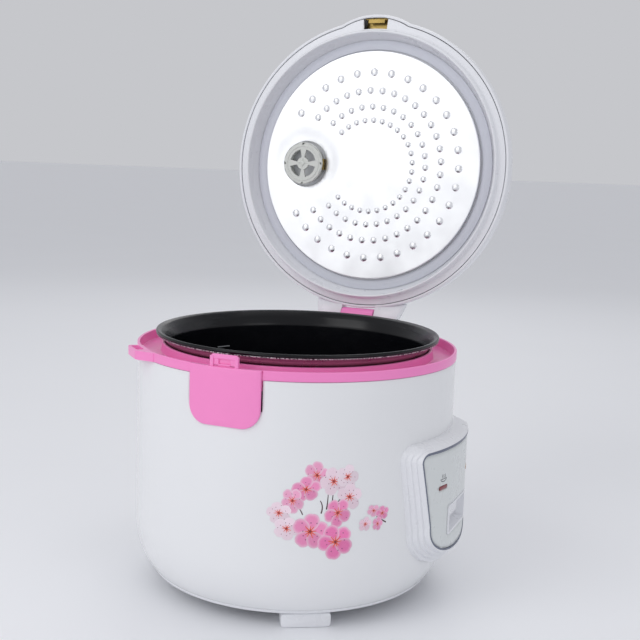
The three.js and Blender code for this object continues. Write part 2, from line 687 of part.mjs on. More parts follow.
function strikePlate() {
  const rearWall = box([-11.6, 11.6], [-142.4, -141.2], [213, 220]);
  const roof = box([-11.6, 11.6], [-142.4, -133], [219, 220]);
  const lip = box([-8.6, 8.6], [-142, -137.9], [213, 214.4]);
  return join(rearWall, roof, lip);
}

function lidGasket() {
  return turned([[113.6, 221.1], [113.6, 220], [118, 219.3], [122.8, 220], [122.8, 221.1]]);
}

add('lid_cover', lidCover(), WHITE, lid);
add('lid_liner', lidLiner(), WHITE, lid);
add('lid_plate', lidPlate(), ALUMINIUM, lid);
add('lid_gasket', lidGasket(), SILICONE, lid);
add('steam_valve_disc', valveDisc(), GREY, lid);
add('steam_duct', ring(16.2, 18.8, 221.2, 245.6, FINE_SEGMENTS).translate([VALVE_X, 0, 0]), GREY, lid);
add('steam_cap', steamCap(), WHITE, lid);
add('valve_clip', box([VALVE_X + 19, VALVE_X + 20.6], [-5.5, 5.5], [213.4, 220.6]), BRASS, lid);
add('strike_plate', strikePlate(), BRASS, lid);
[[-40, 96], [40, 96], [-40, -96], [40, -96]].forEach((place, i) => {
  add(`lid_screw_${i + 1}`, bar('z', 3, 223.7, 226, place, 10), STEEL, lid);
});

// The closed lid, turned about the hinge axis so that its latch side rises.
const pivot = new THREE.Vector3(0, HINGE_Y, HINGE_Z);
lid.rotation.x = -THREE.MathUtils.degToRad(OPEN_DEG);
lid.position.copy(pivot).sub(pivot.clone().applyEuler(lid.rotation));

// ---- Origin at the bottom centre of the bounding box --------------------------------------------
group.updateMatrixWorld(true);
const bounds = new THREE.Box3().setFromObject(group, true);
const centre = bounds.getCenter(new THREE.Vector3());
group.position.set(-centre.x, -centre.y, -bounds.min.z);

export default group;
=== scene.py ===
"""Looks of a round electric rice cooker with its lid open.

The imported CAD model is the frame: it gives every place and joint. This script puts fine surfaces and
finishes round it. Shapes are worked out in millimetres about the upright axis of the round body, with
the lid drawn closed and then opened about its hinge, and are moved to the frame when a mesh is made.
Azimuth 0 is the latch side (-Y), 90 the control panel (+X), 180 the hinge and 270 the power inlet.
"""
import json

import bmesh
import bpy
import numpy as np
from mathutils import Euler, Matrix, Vector
from mathutils.geometry import delaunay_2d_cdt


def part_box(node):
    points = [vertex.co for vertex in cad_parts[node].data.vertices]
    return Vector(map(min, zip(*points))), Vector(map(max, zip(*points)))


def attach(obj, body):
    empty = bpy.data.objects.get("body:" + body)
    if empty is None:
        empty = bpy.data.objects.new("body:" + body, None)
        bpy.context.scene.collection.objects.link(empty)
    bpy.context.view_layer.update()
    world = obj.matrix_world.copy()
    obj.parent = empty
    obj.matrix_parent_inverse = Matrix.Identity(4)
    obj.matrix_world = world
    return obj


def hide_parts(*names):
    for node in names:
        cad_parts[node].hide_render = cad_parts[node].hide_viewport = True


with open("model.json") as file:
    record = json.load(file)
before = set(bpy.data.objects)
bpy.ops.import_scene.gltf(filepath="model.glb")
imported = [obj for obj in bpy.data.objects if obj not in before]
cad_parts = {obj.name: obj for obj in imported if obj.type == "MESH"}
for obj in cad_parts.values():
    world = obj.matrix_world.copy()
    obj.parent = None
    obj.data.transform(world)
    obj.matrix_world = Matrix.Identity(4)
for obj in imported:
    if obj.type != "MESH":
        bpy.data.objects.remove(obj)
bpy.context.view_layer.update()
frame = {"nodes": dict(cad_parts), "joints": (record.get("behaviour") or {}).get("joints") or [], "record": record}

bl_info = {
    "name": "Rice cooker",
    "version": (1, 0, 0),
    "blender": (4, 5, 0),
    "location": "View3D > Sidebar > Rice cooker",
    "description": "Fine surfaces and finishes of a round electric rice cooker",
    "category": "Add Mesh",
}

# ---- Places taken from the frame, in millimetres ----------------------------------------------------
MM = 0.001
POT_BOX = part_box("inner_pot")
AXIS = np.array([(POT_BOX[0][0] + POT_BOX[1][0]) / 2, (POT_BOX[0][1] + POT_BOX[1][1]) / 2, 0.0]) / MM
JOINTS = {j["name"]: j for j in frame["joints"]}
HINGE = np.array(JOINTS["lid_hinge"]["pos_m"]) / MM - AXIS
OPEN_ANGLE = np.radians(-JOINTS["lid_hinge"]["range_deg"][0])


def span(node, axis):
    """Lowest and highest place of a CAD node along an axis (0, 1 or 2), about the body's own axis."""
    low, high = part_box(node)
    return low[axis] / MM - AXIS[axis], high[axis] / MM - AXIS[axis]


SHELL_R = span("heat_shield_drum", 0)[1] + 20.8  # the drum hangs 20.8 mm inside the painted wall
SHELL_LOW, SHELL_TOP = span("outer_shell", 2)
BAND_LOW, BAND_TOP = SHELL_TOP + 0.3, span("latch_lever", 2)[0] + 45.6
RIM_R = span("inner_pot", 0)[1]
RIM_TOP = span("inner_pot", 2)[1]
POT_FLOOR = span("inner_pot", 2)[0]
FOOT_TOP = span("foot_1", 2)[1]


# ---- Settings that a user would change --------------------------------------------------------------
def linear(text):
    """An sRGB hex colour as linear RGBA: c / 12.92 in the toe, ((c + 0.055) / 1.055) ^ 2.4 above it."""
    c = np.array([int(text[i:i + 2], 16) for i in (1, 3, 5)]) / 255
    return (*np.where(c <= 0.04045, c / 12.92, ((c + 0.055) / 1.055) ** 2.4).tolist(), 1.0)


def colour_setting(name, text, description):
    return bpy.props.FloatVectorProperty(
        name=name, description=description, default=linear(text), subtype="COLOR", size=4, min=0, max=1)


class CookerColours(bpy.types.PropertyGroup):
    """Colours of the cooker's finishes."""

    enamel: colour_setting("Enamel", "#EEEFF1", "Baked enamel on the steel body")
    white: colour_setting("White plastic", "#EBECF0", "Moulded lid, panel surround, base and feet")
    pink: colour_setting("Pink plastic", "#FE8FCF", "Moulded band, collar and latch")
    face: colour_setting("Panel face", "#DDE1E1", "Control panel's face")
    trim: colour_setting("Trim line", "#6E7486", "Line round the control panel")
    coating: colour_setting("Non-stick coating", "#0B0C10", "Inside of the pot")
    petal: colour_setting("Petals", "#F77DBB", "Deepest petals of the printed blossom")


class CookerSizes(bpy.types.PropertyGroup):
    """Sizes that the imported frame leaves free."""

    round_steps: bpy.props.IntProperty(
        name="Steps round", description="Facets round the body", default=256, min=48, max=720)
    camera_lens: bpy.props.FloatProperty(
        name="Lens", description="Focal length of the camera", default=58.46, min=20, max=200, unit="CAMERA")
    enamel_ripple: bpy.props.FloatProperty(
        name="Enamel ripple", description="Length of the soft waves in the enamel",
        default=0.006, min=0.001, max=0.05, subtype="DISTANCE", unit="LENGTH")
    bump_height: bpy.props.FloatProperty(
        name="Drip bump height", description="How far the lid plate's drip bumps stand out",
        default=0.0013, min=0.0, max=0.003, subtype="DISTANCE", unit="LENGTH")


# ---- Shapes worked out as arrays --------------------------------------------------------------------
def rounded(corners, closed=False, step=12.0):
    """A path through corners (a, b, radius) as an (n, 2) array.

    Each corner becomes the arc that touches both its sides; an arc has a point every step degrees.
    """
    points = np.array([c[:2] for c in corners], float)
    path = []
    for k, corner in enumerate(corners):
        radius = corner[2] if len(corner) > 2 else 0
        if radius <= 0 or (not closed and k in (0, len(corners) - 1)):
            path.append(points[k])
            continue
        sides = np.array([points[k - 1], points[(k + 1) % len(points)]]) - points[k]
        lengths = np.linalg.norm(sides, axis=1)
        sides /= lengths[:, None]
        half = np.arccos(np.clip(sides[0] @ sides[1], -1, 1)) / 2
        reach = min(radius / np.tan(half), *(0.49 * lengths))
        middle = sides.sum(0) / np.linalg.norm(sides.sum(0))
        centre = points[k] + middle * reach / np.cos(half)
        start, end = points[k] + sides * reach - centre
        first = np.arctan2(start[1], start[0])
        sweep = (np.arctan2(end[1], end[0]) - first + np.pi) % (2 * np.pi) - np.pi
        count = max(2, int(np.ceil(abs(np.degrees(sweep)) / step)))
        angles = first + sweep * np.arange(count + 1) / count
        r = np.linalg.norm(start)
        path += list(centre + r * np.stack([np.cos(angles), np.sin(angles)], 1))
    return np.array(path)


def oval(a, b, half_a, half_b, start, end, count):
    """Points of an ellipse's arc about (a, b), from start to end degrees."""
    t = np.radians(np.linspace(start, end, count))
    return np.stack([a + half_a * np.cos(t), b + half_b * np.sin(t)], 1)


def grid(points, around=False, along=False, keep=None, paint=0):
    """Quads over an array of points (rows, columns, 3); around joins the last column to the first, along
    the last row. keep marks the quads that stay, and paint gives a material to each row or to all."""
    rows, columns = points.shape[:2]
    i, j = np.meshgrid(
        np.arange(rows if along else rows - 1), np.arange(columns if around else columns - 1), indexing="ij")
    below, above = i * columns, ((i + 1) % rows) * columns
    after = (j + 1) % columns
    quads = np.stack([below + j, below + after, above + after, above + j], -1)
    paints = np.broadcast_to(np.reshape(paint, (-1, 1)), i.shape)
    if keep is not None:
        quads, paints = quads[keep], paints[keep]
    return points.reshape(-1, 3), quads.reshape(-1, 4).tolist(), paints.ravel().tolist()


def capped(loops, paint=0):
    """Closed loops of points in layers (rows, columns, 3), joined by quads and closed at both ends."""
    points, quads, paints = grid(loops, around=True, paint=paint)
    rows, columns = loops.shape[:2]
    ends = [list(range(columns))[::-1], list(range((rows - 1) * columns, rows * columns))]
    return points, quads + ends, paints + [paints[0], paints[-1]]


def turned(profile, count, along=False, start=0.0, sweep=360.0, centre=(0, 0), paint=0, swell=None):
    """A profile of (radius, height) swept about an upright axis through centre: x = r sin a, y = -r cos a.

    along closes the profile on itself, and swell(angle, height) adds to the radius. A part turn that
    closes on itself gets its two end faces.
    """
    whole = sweep >= 360
    angles = np.radians(start + sweep * np.arange(count if whole else count + 1) / count)[None, :]
    r, z = profile[:, 0][:, None], profile[:, 1][:, None] + 0 * angles
    if swell is not None:
        r = r + np.where(r > 0, swell(angles, z), 0)
    points = np.stack([centre[0] + r * np.sin(angles), centre[1] - r * np.cos(angles), z], -1)
    made = grid(points, around=whole, along=along, paint=paint)
    if along and not whole:
        columns = count + 1
        first = [k * columns for k in range(len(profile))]
        last = [k * columns + count for k in range(len(profile))]
        made[1].extend([first[::-1], last])
        made[2].extend([made[2][0]] * 2)
    return made


def box_outline(left, right, low, high, corner, inset=0.0, count=6):
    """A rectangle with round corners, moved inwards by inset, anticlockwise."""
    corner = max(corner - inset, 0.15)
    left, right = left + inset + corner, right - inset - corner
    low, high = low + inset + corner, high - inset - corner
    t = np.radians(np.linspace(0, 90, count + 1))
    quarters = [(right, low, -90), (right, high, 0), (left, high, 90), (left, low, 180)]
    return np.concatenate([
        np.stack([a + corner * np.cos(t + np.radians(turn)), b + corner * np.sin(t + np.radians(turn))], 1)
        for a, b, turn in quarters])


# Ways to stand a flat drawing (a, b) with its height h on the cooker.
def facing_up(a, b, h):
    """Lies flat: a is x, b is y and h the height."""
    return np.stack([a, b, h + 0 * a], -1)


def facing_latch(a, b, h):
    """Stands towards the latch: a is x, b is z and h the distance along -Y."""
    return np.stack([a, -h + 0 * a, b], -1)


def facing_panel(a, b, h):
    """Stands towards the panel: a is y, b is z and h the distance along +X."""
    return np.stack([h + 0 * a, a, b], -1)


def facing_inlet(a, b, h):
    """Stands towards the inlet: a is -y, b is z and h the distance along -X."""
    return np.stack([-h + 0 * a, -a, b], -1)


def round_panel(a, b, h):
    """As facing_panel, with h the distance from the body's axis, so that the drawing bends with it."""
    return np.stack([np.sqrt(h ** 2 - a ** 2), a, b], -1)


def round_latch(a, b, h):
    """As facing_latch, with h the distance from the body's axis, so that the drawing bends with it."""
    return np.stack([a, -np.sqrt(h ** 2 - a ** 2), b], -1)


def tablet(outline, profile, place, paint=0):
    """A flat piece with shaped edges: outline(inset) at each (inset, height) of the profile."""
    layers = []
    for inset, height in profile:
        flat = outline(inset)
        layers.append(place(flat[:, 0], flat[:, 1], height))
    return capped(np.array(layers), paint=paint)


def block(left, right, low, high, near, far, place, corner=0.6, edge=0.3):
    """A rectangular block with rounded corners and edges."""
    profile = [(edge, near), (0, near + edge), (0, far - edge), (edge, far)]
    return tablet(lambda d: box_outline(left, right, low, high, corner, d, 3), profile, place)


def inside(points, loop):
    """Which points lie in a closed loop: a ray along +a from each crosses the loop an odd number of times."""
    a, b = points[:, 0][:, None], points[:, 1][:, None]
    p, q = loop, np.roll(loop, -1, 0)
    spans = (p[:, 1] > b) != (q[:, 1] > b)
    rise = np.where(q[:, 1] == p[:, 1], 1, q[:, 1] - p[:, 1])
    cross = p[:, 0] + (b - p[:, 1]) * (q[:, 0] - p[:, 0]) / rise
    return (spans & (a < cross)).sum(1) % 2 == 1


def trimmed(outline, holes, extra):
    """Triangles over the inside of an outline less its holes, through the extra points: (points, faces)."""
    loops = [outline, *holes]
    points = np.concatenate([*loops, extra])
    edges, first = [], 0
    for loop in loops:
        k = np.arange(len(loop))
        edges += np.stack([first + k, first + (k + 1) % len(loop)], 1).tolist()
        first += len(loop)
    made = delaunay_2d_cdt([Vector(p) for p in points.tolist()], edges, [], 0, 1e-5)
    flat = np.array([tuple(p) for p in made[0]])
    faces = np.array(made[2])
    middle = flat[faces].mean(1)
    kept = inside(middle, outline)
    for hole in holes:
        kept &= ~inside(middle, hole)
    return flat, faces[kept]


def face_over(outline, place, height, step=3.0, front=True):
    """The inside of an outline as a sheet of small triangles, so that it can follow a curved place."""
    low, high = outline.min(0), outline.max(0)
    a, b = np.meshgrid(np.arange(low[0], high[0], step) + step / 2, np.arange(low[1], high[1], step) + step / 2)
    extra = np.stack([a.ravel(), b.ravel()], 1)
    extra = extra[inside(extra, outline)]
    gap = np.sqrt(((extra[:, None] - outline[None]) ** 2).sum(-1)).min(1)
    flat, faces = trimmed(outline, [], extra[gap > 0.3 * step])
    faces = faces if front else faces[:, ::-1]
    return place(flat[:, 0], flat[:, 1], height), faces.tolist(), [0] * len(faces)


def ribbon(path, widths):
    """The two edges of a flat stroke along a path (n, 2), as (2, n, 2)."""
    tangent = np.gradient(path, axis=0)
    tangent /= np.linalg.norm(tangent, axis=1)[:, None]
    across = np.stack([-tangent[:, 1], tangent[:, 0]], 1) * np.reshape(widths, (-1, 1)) / 2
    return np.stack([path - across, path + across])


def smooth(t):
    """0 below 0, 1 above 1 and 3t^2 - 2t^3 between."""
    t = np.clip(t, 0, 1)
    return t * t * (3 - 2 * t)


def opened(points):
    """Turns points of the closed lid about the hinge axis, so that the latch side rises."""
    y, z = points[:, 1] - HINGE[1], points[:, 2] - HINGE[2]
    c, s = np.cos(OPEN_ANGLE), np.sin(OPEN_ANGLE)
    return np.stack([points[:, 0], HINGE[1] + y * c + z * s, HINGE[2] - y * s + z * c], 1)


def make_piece(name, patches, materials, body, replaces=(), lid=False, wall=0.0, sharp=38.0,
               colours=None):
    """Joins patches into one mesh, places it in the frame and lets it ride on a body.

    wall gives an open surface that thickness, behind it. colours are linear RGBA, one for each point.
    """
    points = np.concatenate([p for p, _, _ in patches])
    faces, paints, first = [], [], 0
    for part, quads, paint in patches:
        faces += [[first + k for k in quad] for quad in quads]
        paints += paint
        first += len(part)
    if lid:
        points = opened(points)
    mesh = bpy.data.meshes.new(name)
    mesh.from_pydata((points + AXIS) * MM, [], faces)
    mesh.polygons.foreach_set("material_index", np.array(paints, np.int32))
    if colours is not None:
        mesh.color_attributes.new("print", "FLOAT_COLOR", "POINT").data.foreach_set("color", colours.ravel())
    work = bmesh.new()
    work.from_mesh(mesh)
    bmesh.ops.remove_doubles(work, verts=work.verts, dist=2e-7)
    bmesh.ops.recalc_face_normals(work, faces=work.faces)
    work.to_mesh(mesh)
    work.free()
    mesh.polygons.foreach_set("use_smooth", np.ones(len(mesh.polygons), bool))
    mesh.set_sharp_from_angle(angle=np.radians(sharp))
    for material in materials:
        mesh.materials.append(material)
    piece = bpy.data.objects.new(name, mesh)
    bpy.context.scene.collection.objects.link(piece)
    if wall:
        thick = piece.modifiers.new("wall", "SOLIDIFY")
        thick.thickness = wall * MM
        thick.offset = -1
        thick.use_even_offset = True
    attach(piece, body)
    if replaces:
        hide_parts(*replaces)
    return piece


# ---- Finishes ---------------------------------------------------------------------------------------
def add(tree, kind, inputs=None, **settings):
    """Adds a shader node with its settings; inputs maps a socket to a value or to another node's socket."""
    made = tree.nodes.new("ShaderNode" + kind)
    for key, value in settings.items():
        setattr(made, key, value)
    for key, value in (inputs or {}).items():
        if isinstance(value, bpy.types.NodeSocket):
            tree.links.new(value, made.inputs[key])
        else:
            made.inputs[key].default_value = value
    return made


def surface(name, inputs):
    """A material with one Principled shader; returns the material, its tree and the shader."""
    material = bpy.data.materials.new(name)
    material.use_nodes = True
    tree = material.node_tree
    tree.nodes.clear()
    shader = add(tree, "BsdfPrincipled", inputs)
    add(tree, "OutputMaterial", {"Surface": shader.outputs["BSDF"]})
    return material, tree, shader


def noise(tree, length_mm, detail=2.0, vector=None):
    """Noise whose features are about length_mm across, read from Object coordinates."""
    vector = vector or add(tree, "TexCoord").outputs["Object"]
    return add(tree, "TexNoise", {"Vector": vector, "Scale": 1 / (length_mm * MM), "Detail": detail})


def drive(tree, shader, socket, source, low, high):
    """Runs a shader's socket between two values by a noise."""
    mapped = add(tree, "MapRange", {0: source, 1: 0.35, 2: 0.65, 3: low, 4: high})
    tree.links.new(mapped.outputs[0], shader.inputs[socket])


def mottle(tree, shader, source, colour, depth):
    """Lets the base colour fall by a share of depth where the noise is low."""
    low = [c * (1 - depth) for c in colour[:3]] + [1]
    blend = add(tree, "Mix", {0: source, 6: low, 7: colour}, data_type="RGBA")
    tree.links.new(blend.outputs[2], shader.inputs["Base Color"])


def relief(tree, shader, source, height_mm, strength=1.0):
    """A bump of that height from a noise or a ring pattern."""
    bump = add(tree, "Bump", {"Strength": strength, "Distance": height_mm * MM, "Height": source})
    tree.links.new(bump.outputs["Normal"], shader.inputs["Normal"])


def moulded(name, colour, roughness, grain_mm, height_mm, depth=0.05, **more):
    """Injection-moulded plastic: an even colour with faint flow marks, over a fine spark-eroded grain."""
    material, tree, shader = surface(name, {"IOR": 1.49, **more})
    flow = noise(tree, 14, 3).outputs["Fac"]
    grain = noise(tree, grain_mm).outputs["Fac"]
    mottle(tree, shader, flow, colour, depth)
    drive(tree, shader, "Roughness", flow, roughness * 0.88, roughness * 1.14)
    relief(tree, shader, grain, height_mm, 0.5)
    return material


def about(tree, centre, tilt=0.0):
    """Object coordinates moved so that a turned piece's centre is the origin, and tilted back about X."""
    turn = Euler((tilt, 0, 0)).to_matrix()
    place = -(turn @ Vector(((np.array(centre) + AXIS) * MM).tolist()))
    source = add(tree, "TexCoord").outputs["Object"]
    return add(tree, "Mapping", {"Vector": source, "Location": place, "Rotation": (tilt, 0, 0)}).outputs[0]


def radius_of(tree, vector):
    """Distance from the Z axis of a coordinate."""
    flat = add(tree, "VectorMath", {0: vector, 1: (1, 1, 0)}, operation="MULTIPLY").outputs[0]
    return add(tree, "VectorMath", {0: flat}, operation="LENGTH").outputs["Value"]


def spun(name, colour, roughness, centre, tilt=0.0, ring_mm=0.5, height_mm=0.004, dull=0.12):
    """Sheet metal spun or turned in a lathe: bright, with fine rings about its centre.

    The real rings are about 0.1 mm apart and are drawn at ring_mm so that they show.
    """
    material, tree, shader = surface(name, {"Metallic": 1.0})
    vector = about(tree, centre, tilt)
    radius = radius_of(tree, vector)
    rings = add(tree, "TexNoise", {"W": radius, "Scale": 1 / (ring_mm * MM), "Detail": 2.0},
                noise_dimensions="1D")
    cloud = noise(tree, 22, 3).outputs["Fac"]
    mottle(tree, shader, cloud, colour, dull)
    drive(tree, shader, "Roughness", cloud, roughness * 0.85, roughness * 1.2)
    relief(tree, shader, rings.outputs["Fac"], height_mm, 0.5)
    return material


def rolled(name, colour, roughness, grain_mm=0.6, dull=0.25):
    """Rolled or drawn metal: rolling lines along X, and dull patches left by handling."""
    material, tree, shader = surface(name, {"Metallic": 1.0})
    source = add(tree, "TexCoord").outputs["Object"]
    stretched = add(tree, "Mapping", {"Vector": source, "Scale": (0.05, 1, 1)}).outputs[0]
    lines = noise(tree, grain_mm, 2, stretched).outputs["Fac"]
    cloud = noise(tree, 9, 3).outputs["Fac"]
    mottle(tree, shader, cloud, colour, dull)
    drive(tree, shader, "Roughness", cloud, roughness * 0.8, roughness * 1.3)
    relief(tree, shader, lines, 0.006, 0.5)
    return material


def baked_enamel(colour, ripple):
    """Baked enamel on drawn steel: a clear gloss with the slight orange peel of sprayed paint."""
    material, tree, shader = surface("baked_enamel", {"IOR": 1.5, "Coat Weight": 0.35, "Coat Roughness": 0.06})
    waves = noise(tree, ripple / MM, 1).outputs["Fac"]
    mottle(tree, shader, noise(tree, 60, 2).outputs["Fac"], colour, 0.02)
    drive(tree, shader, "Roughness", waves, 0.2, 0.26)
    relief(tree, shader, waves, 0.012, 0.35)
    return material


def nonstick_coating(colour):
    """Sprayed fluoropolymer on a drawn pot: nearly black, satin, with pale mica flecks in it."""
    material, tree, shader = surface("nonstick_coating", {"IOR": 1.4, "Specular IOR Level": 0.42})
    flecks = noise(tree, 0.7, 1).outputs["Fac"]
    sparse = add(tree, "MapRange", {0: flecks, 1: 0.7, 2: 0.78, 3: 0.0, 4: 0.3}).outputs[0]
    blend = add(tree, "Mix", {0: sparse, 6: colour, 7: linear("#4A4C52")}, data_type="RGBA")
    tree.links.new(blend.outputs[2], shader.inputs["Base Color"])
    drive(tree, shader, "Roughness", noise(tree, 12, 2).outputs["Fac"], 0.19, 0.25)
    relief(tree, shader, flecks, 0.004, 0.3)
    return material


def cut_rim():
    """Where the coating ends under the rim: bare aluminium showing in speckles."""
    material, tree, shader = surface("cut_rim_aluminium", {"Metallic": 0.8, "Roughness": 0.4})
    specks = noise(tree, 0.9, 1).outputs["Fac"]
    share = add(tree, "MapRange", {0: specks, 1: 0.44, 2: 0.54}).outputs[0]
    blend = add(tree, "Mix", {0: share, 6: linear("#2A2628"), 7: linear("#D8D2D4")}, data_type="RGBA")
    tree.links.new(blend.outputs[2], shader.inputs["Base Color"])
    relief(tree, shader, specks, 0.03, 0.6)
    return material


def printed():
    """Transfer print under the clear coat: the ink's colour comes with the surface, glossy as the enamel."""
    coat = {"IOR": 1.5, "Coat Weight": 0.35, "Coat Roughness": 0.06}
    material, tree, shader = surface("transfer_print", coat)
    ink = add(tree, "VertexColor", layer_name="print").outputs["Color"]
    tree.links.new(ink, shader.inputs["Base Color"])
    drive(tree, shader, "Roughness", noise(tree, 0.45, 1).outputs["Fac"], 0.22, 0.3)
    return material


def indicator(name, deep, bright):
    """Clear tinted acrylic over a neon lamp: deep colour with fine moulded prism lines."""
    coat = {"IOR": 1.49, "Roughness": 0.12, "Coat Weight": 0.6, "Coat Roughness": 0.05}
    material, tree, shader = surface(name, coat)
    source = add(tree, "TexCoord").outputs["Object"]
    lines = add(tree, "TexWave", {"Vector": source, "Scale": 1 / (2.2 * MM) / 3.14, "Distortion": 0.0},
                bands_direction="Y").outputs["Fac"]
    blend = add(tree, "Mix", {0: lines, 6: deep, 7: bright}, data_type="RGBA")
    tree.links.new(blend.outputs[2], shader.inputs["Base Color"])
    relief(tree, shader, lines, 0.05, 0.4)
    return material


MATERIALS = {}


def build_materials(colours, sizes):
    """Every finish by name; a carried-over CAD node takes the one of its slot in the record."""
    made = MATERIALS
    plate = np.array([0, 0, PLATE_Z])
    made["enamel"] = baked_enamel(tuple(colours.enamel), sizes.enamel_ripple)
    made["white"] = moulded("abs_white", tuple(colours.white), 0.3, 0.8, 0.0015, 0.01, **{"Coat Weight": 0.15})
    made["pink"] = moulded("polypropylene_pink", tuple(colours.pink), 0.32, 0.7, 0.008, 0.04,
                           **{"Coat Weight": 0.12})
    made["face"] = moulded("abs_pale_grey", tuple(colours.face), 0.3, 0.6, 0.0015, 0.01)
    made["trim"] = moulded("abs_slate", tuple(colours.trim), 0.28, 0.6, 0.006)
    made["black"] = moulded("nylon_black", linear("#1E1F22"), 0.45, 0.5, 0.02, 0.25)
    made["silicone"] = moulded("silicone_translucent", linear("#D9DBE4"), 0.5, 0.5, 0.01)
    made["valve"] = moulded("polypropylene_natural", linear("#D9DBD6"), 0.4, 0.6, 0.01, 0.06)
    made["mica"] = moulded("mica_sheet", linear("#B59A6A"), 0.5, 1.5, 0.08, 0.4)
    made["ink"] = moulded("print_ink", linear("#23273A"), 0.4, 0.3, 0.002, 0.1)
    made["tick"] = moulded("print_ink_pale", linear("#A9ABAE"), 0.4, 0.3, 0.002, 0.1)
    made["coating"] = nonstick_coating(tuple(colours.coating))
    made["cut_rim"] = cut_rim()
    # The pot's bare aluminium outside is given a pinkish grey: a painted reflection of the pink collar and band.
    made["pot_out"] = spun("aluminium_with_painted_pink_reflection", linear("#B9A8A8"), 0.3, (0, 0, 0))
    made["plate"] = spun("spun_aluminium", linear("#F4F5F7"), 0.36, opened(plate[None])[0], OPEN_ANGLE, 0.6,
                         0.003, 0.03)
    made["cast"] = spun("turned_cast_aluminium", linear("#C9CBCE"), 0.34, (0, 0, 0), 0.0, 1.2, 0.02)
    made["zinc"] = rolled("zinc_plated_steel", linear("#B4B7BA"), 0.36)
    made["steel"] = rolled("bright_steel", linear("#C9CCCF"), 0.24)
    made["brass"] = rolled("rolled_brass", linear("#B39A5C"), 0.3)
    made["red"] = indicator("acrylic_red", linear("#5E0818"), linear("#98152B"))
    made["amber"] = indicator("acrylic_amber", linear("#8A5A14"), linear("#C9963A"))
    made["glass"] = moulded("neon_glass", linear("#E6C9A4"), 0.08, 2.0, 0.002)
    made["print"] = printed()
    return made


SLOT_FINISH = {
    "shell_enamel": "enamel", "white_plastic": "white", "pink_plastic": "pink", "panel_grey": "face",
    "trim_slate": "trim", "lens_red": "red", "lens_amber": "amber", "nonstick_aluminium": "coating",
    "aluminium": "cast", "zinc_steel": "zinc", "spring_steel": "steel", "brass": "brass",
    "silicone": "silicone", "black_plastic": "black", "mica": "mica", "lamp_glass": "glass",
}


# ---- Body, base and feet ----------------------------------------------------------------------------
CORNER_Z, CORNER_RX, CORNER_RZ = 60.0, 30.1, 52.0  # where the wall starts to round in, and by how much


def shell_surface(count):
    """The painted wall: an elliptical lower corner, a straight side and a turned-in top edge.

    Quads are left out behind the latch, the key and the power inlet, as in the steel.
    """
    low = -np.degrees(np.arcsin((CORNER_Z - SHELL_LOW) / CORNER_RZ))
    corner = oval(SHELL_R - CORNER_RX, CORNER_Z, CORNER_RX, CORNER_RZ, low, 0, 24)
    side = np.stack([np.full(36, SHELL_R), np.linspace(CORNER_Z, SHELL_TOP - 0.6, 37)[1:]], 1)
    top = np.array([[SHELL_R - 0.2, SHELL_TOP - 0.15], [SHELL_R - 0.7, SHELL_TOP]])
    profile = np.concatenate([corner[:1] - [0.8, 0.5], corner, side, top])
    points, quads, paints = turned(profile, count)
    side = np.arcsin(31.0 / SHELL_R)  # the latch opening's sides get a column of points each
    nearest = round(side / (2 * np.pi / count))
    columns = points.reshape(len(profile), count, 3)
    for column, angle in ((nearest, side), (count - nearest, -side)):
        r = np.hypot(columns[:, column, 0], columns[:, column, 1])
        columns[:, column, :2] = np.stack([r * np.sin(angle), -r * np.cos(angle)], 1)
    middle = points[np.array(quads)].mean(1)
    x, y, z = middle.T
    holes = [
        (y < -100) & (np.abs(x) < 21) & (z > 166),
        (y < -100) & (np.abs(x) < 31) & (z > 177),
        (x > 100) & (np.abs(y) < 14) & (z > 66) & (z < 96),
        (x < -100) & (np.abs(y) < 17) & (z > 61) & (z < 87),
    ]
    keep = ~np.any(holes, axis=0)
    return points, [q for q, k in zip(quads, keep) if k], [p for p, k in zip(paints, keep) if k]


def base_pan(count):
    """The base cover: a turned lip, and a floor whose quads are left out at twelve vent slots."""
    low = FOOT_TOP + 0.3
    lip = rounded([
        (80, low), (119.5, low, 1.0), (121.7, low + 0.9, 1.2), (122.9, 16.1, 0.6), (119.6, 16.1, 0.2),
        (119.6, 17.8, 0.5), (117.6, 17.8)])
    radii = np.array([80, 74, 68, 62, 56, 50, 44, 38, 30, 20, 10, 0.0])[::-1]
    steps = np.add.outer(np.arange(0, 360, 30), [-2.4, 2.4, 9, 15, 21])  # the slot, then the web after it
    angles = np.radians(15 + steps.ravel())
    r, a = np.meshgrid(radii, angles, indexing="ij")
    points = np.stack([r * np.sin(a), -r * np.cos(a), np.full_like(r, low)], -1)
    slot = ((radii[:-1] >= 38) & (radii[:-1] < 74))[:, None] & (np.arange(len(angles)) % 5 == 0)[None, :]
    return [turned(lip, count), grid(points, around=True, keep=~slot)]


def foot_block(azimuth):
    """A foot: a 40 x 24 mm block with round lower corners, turned to its place under the base."""
    a = np.radians(azimuth)
    points, faces, paints = tablet(
        lambda d: box_outline(-20, 20, 0, FOOT_TOP, 3.4, d, 6),
        [(1.2, 94.8), (0.35, 95.2), (0, 96.0), (0, 117.2), (0.45, 118.35), (1.4, 118.8)], facing_latch)
    x, y = points[:, 0], points[:, 1]
    turned_points = np.stack([x * np.cos(a) - y * np.sin(a), x * np.sin(a) + y * np.cos(a), points[:, 2]], 1)
    return turned_points, faces, paints


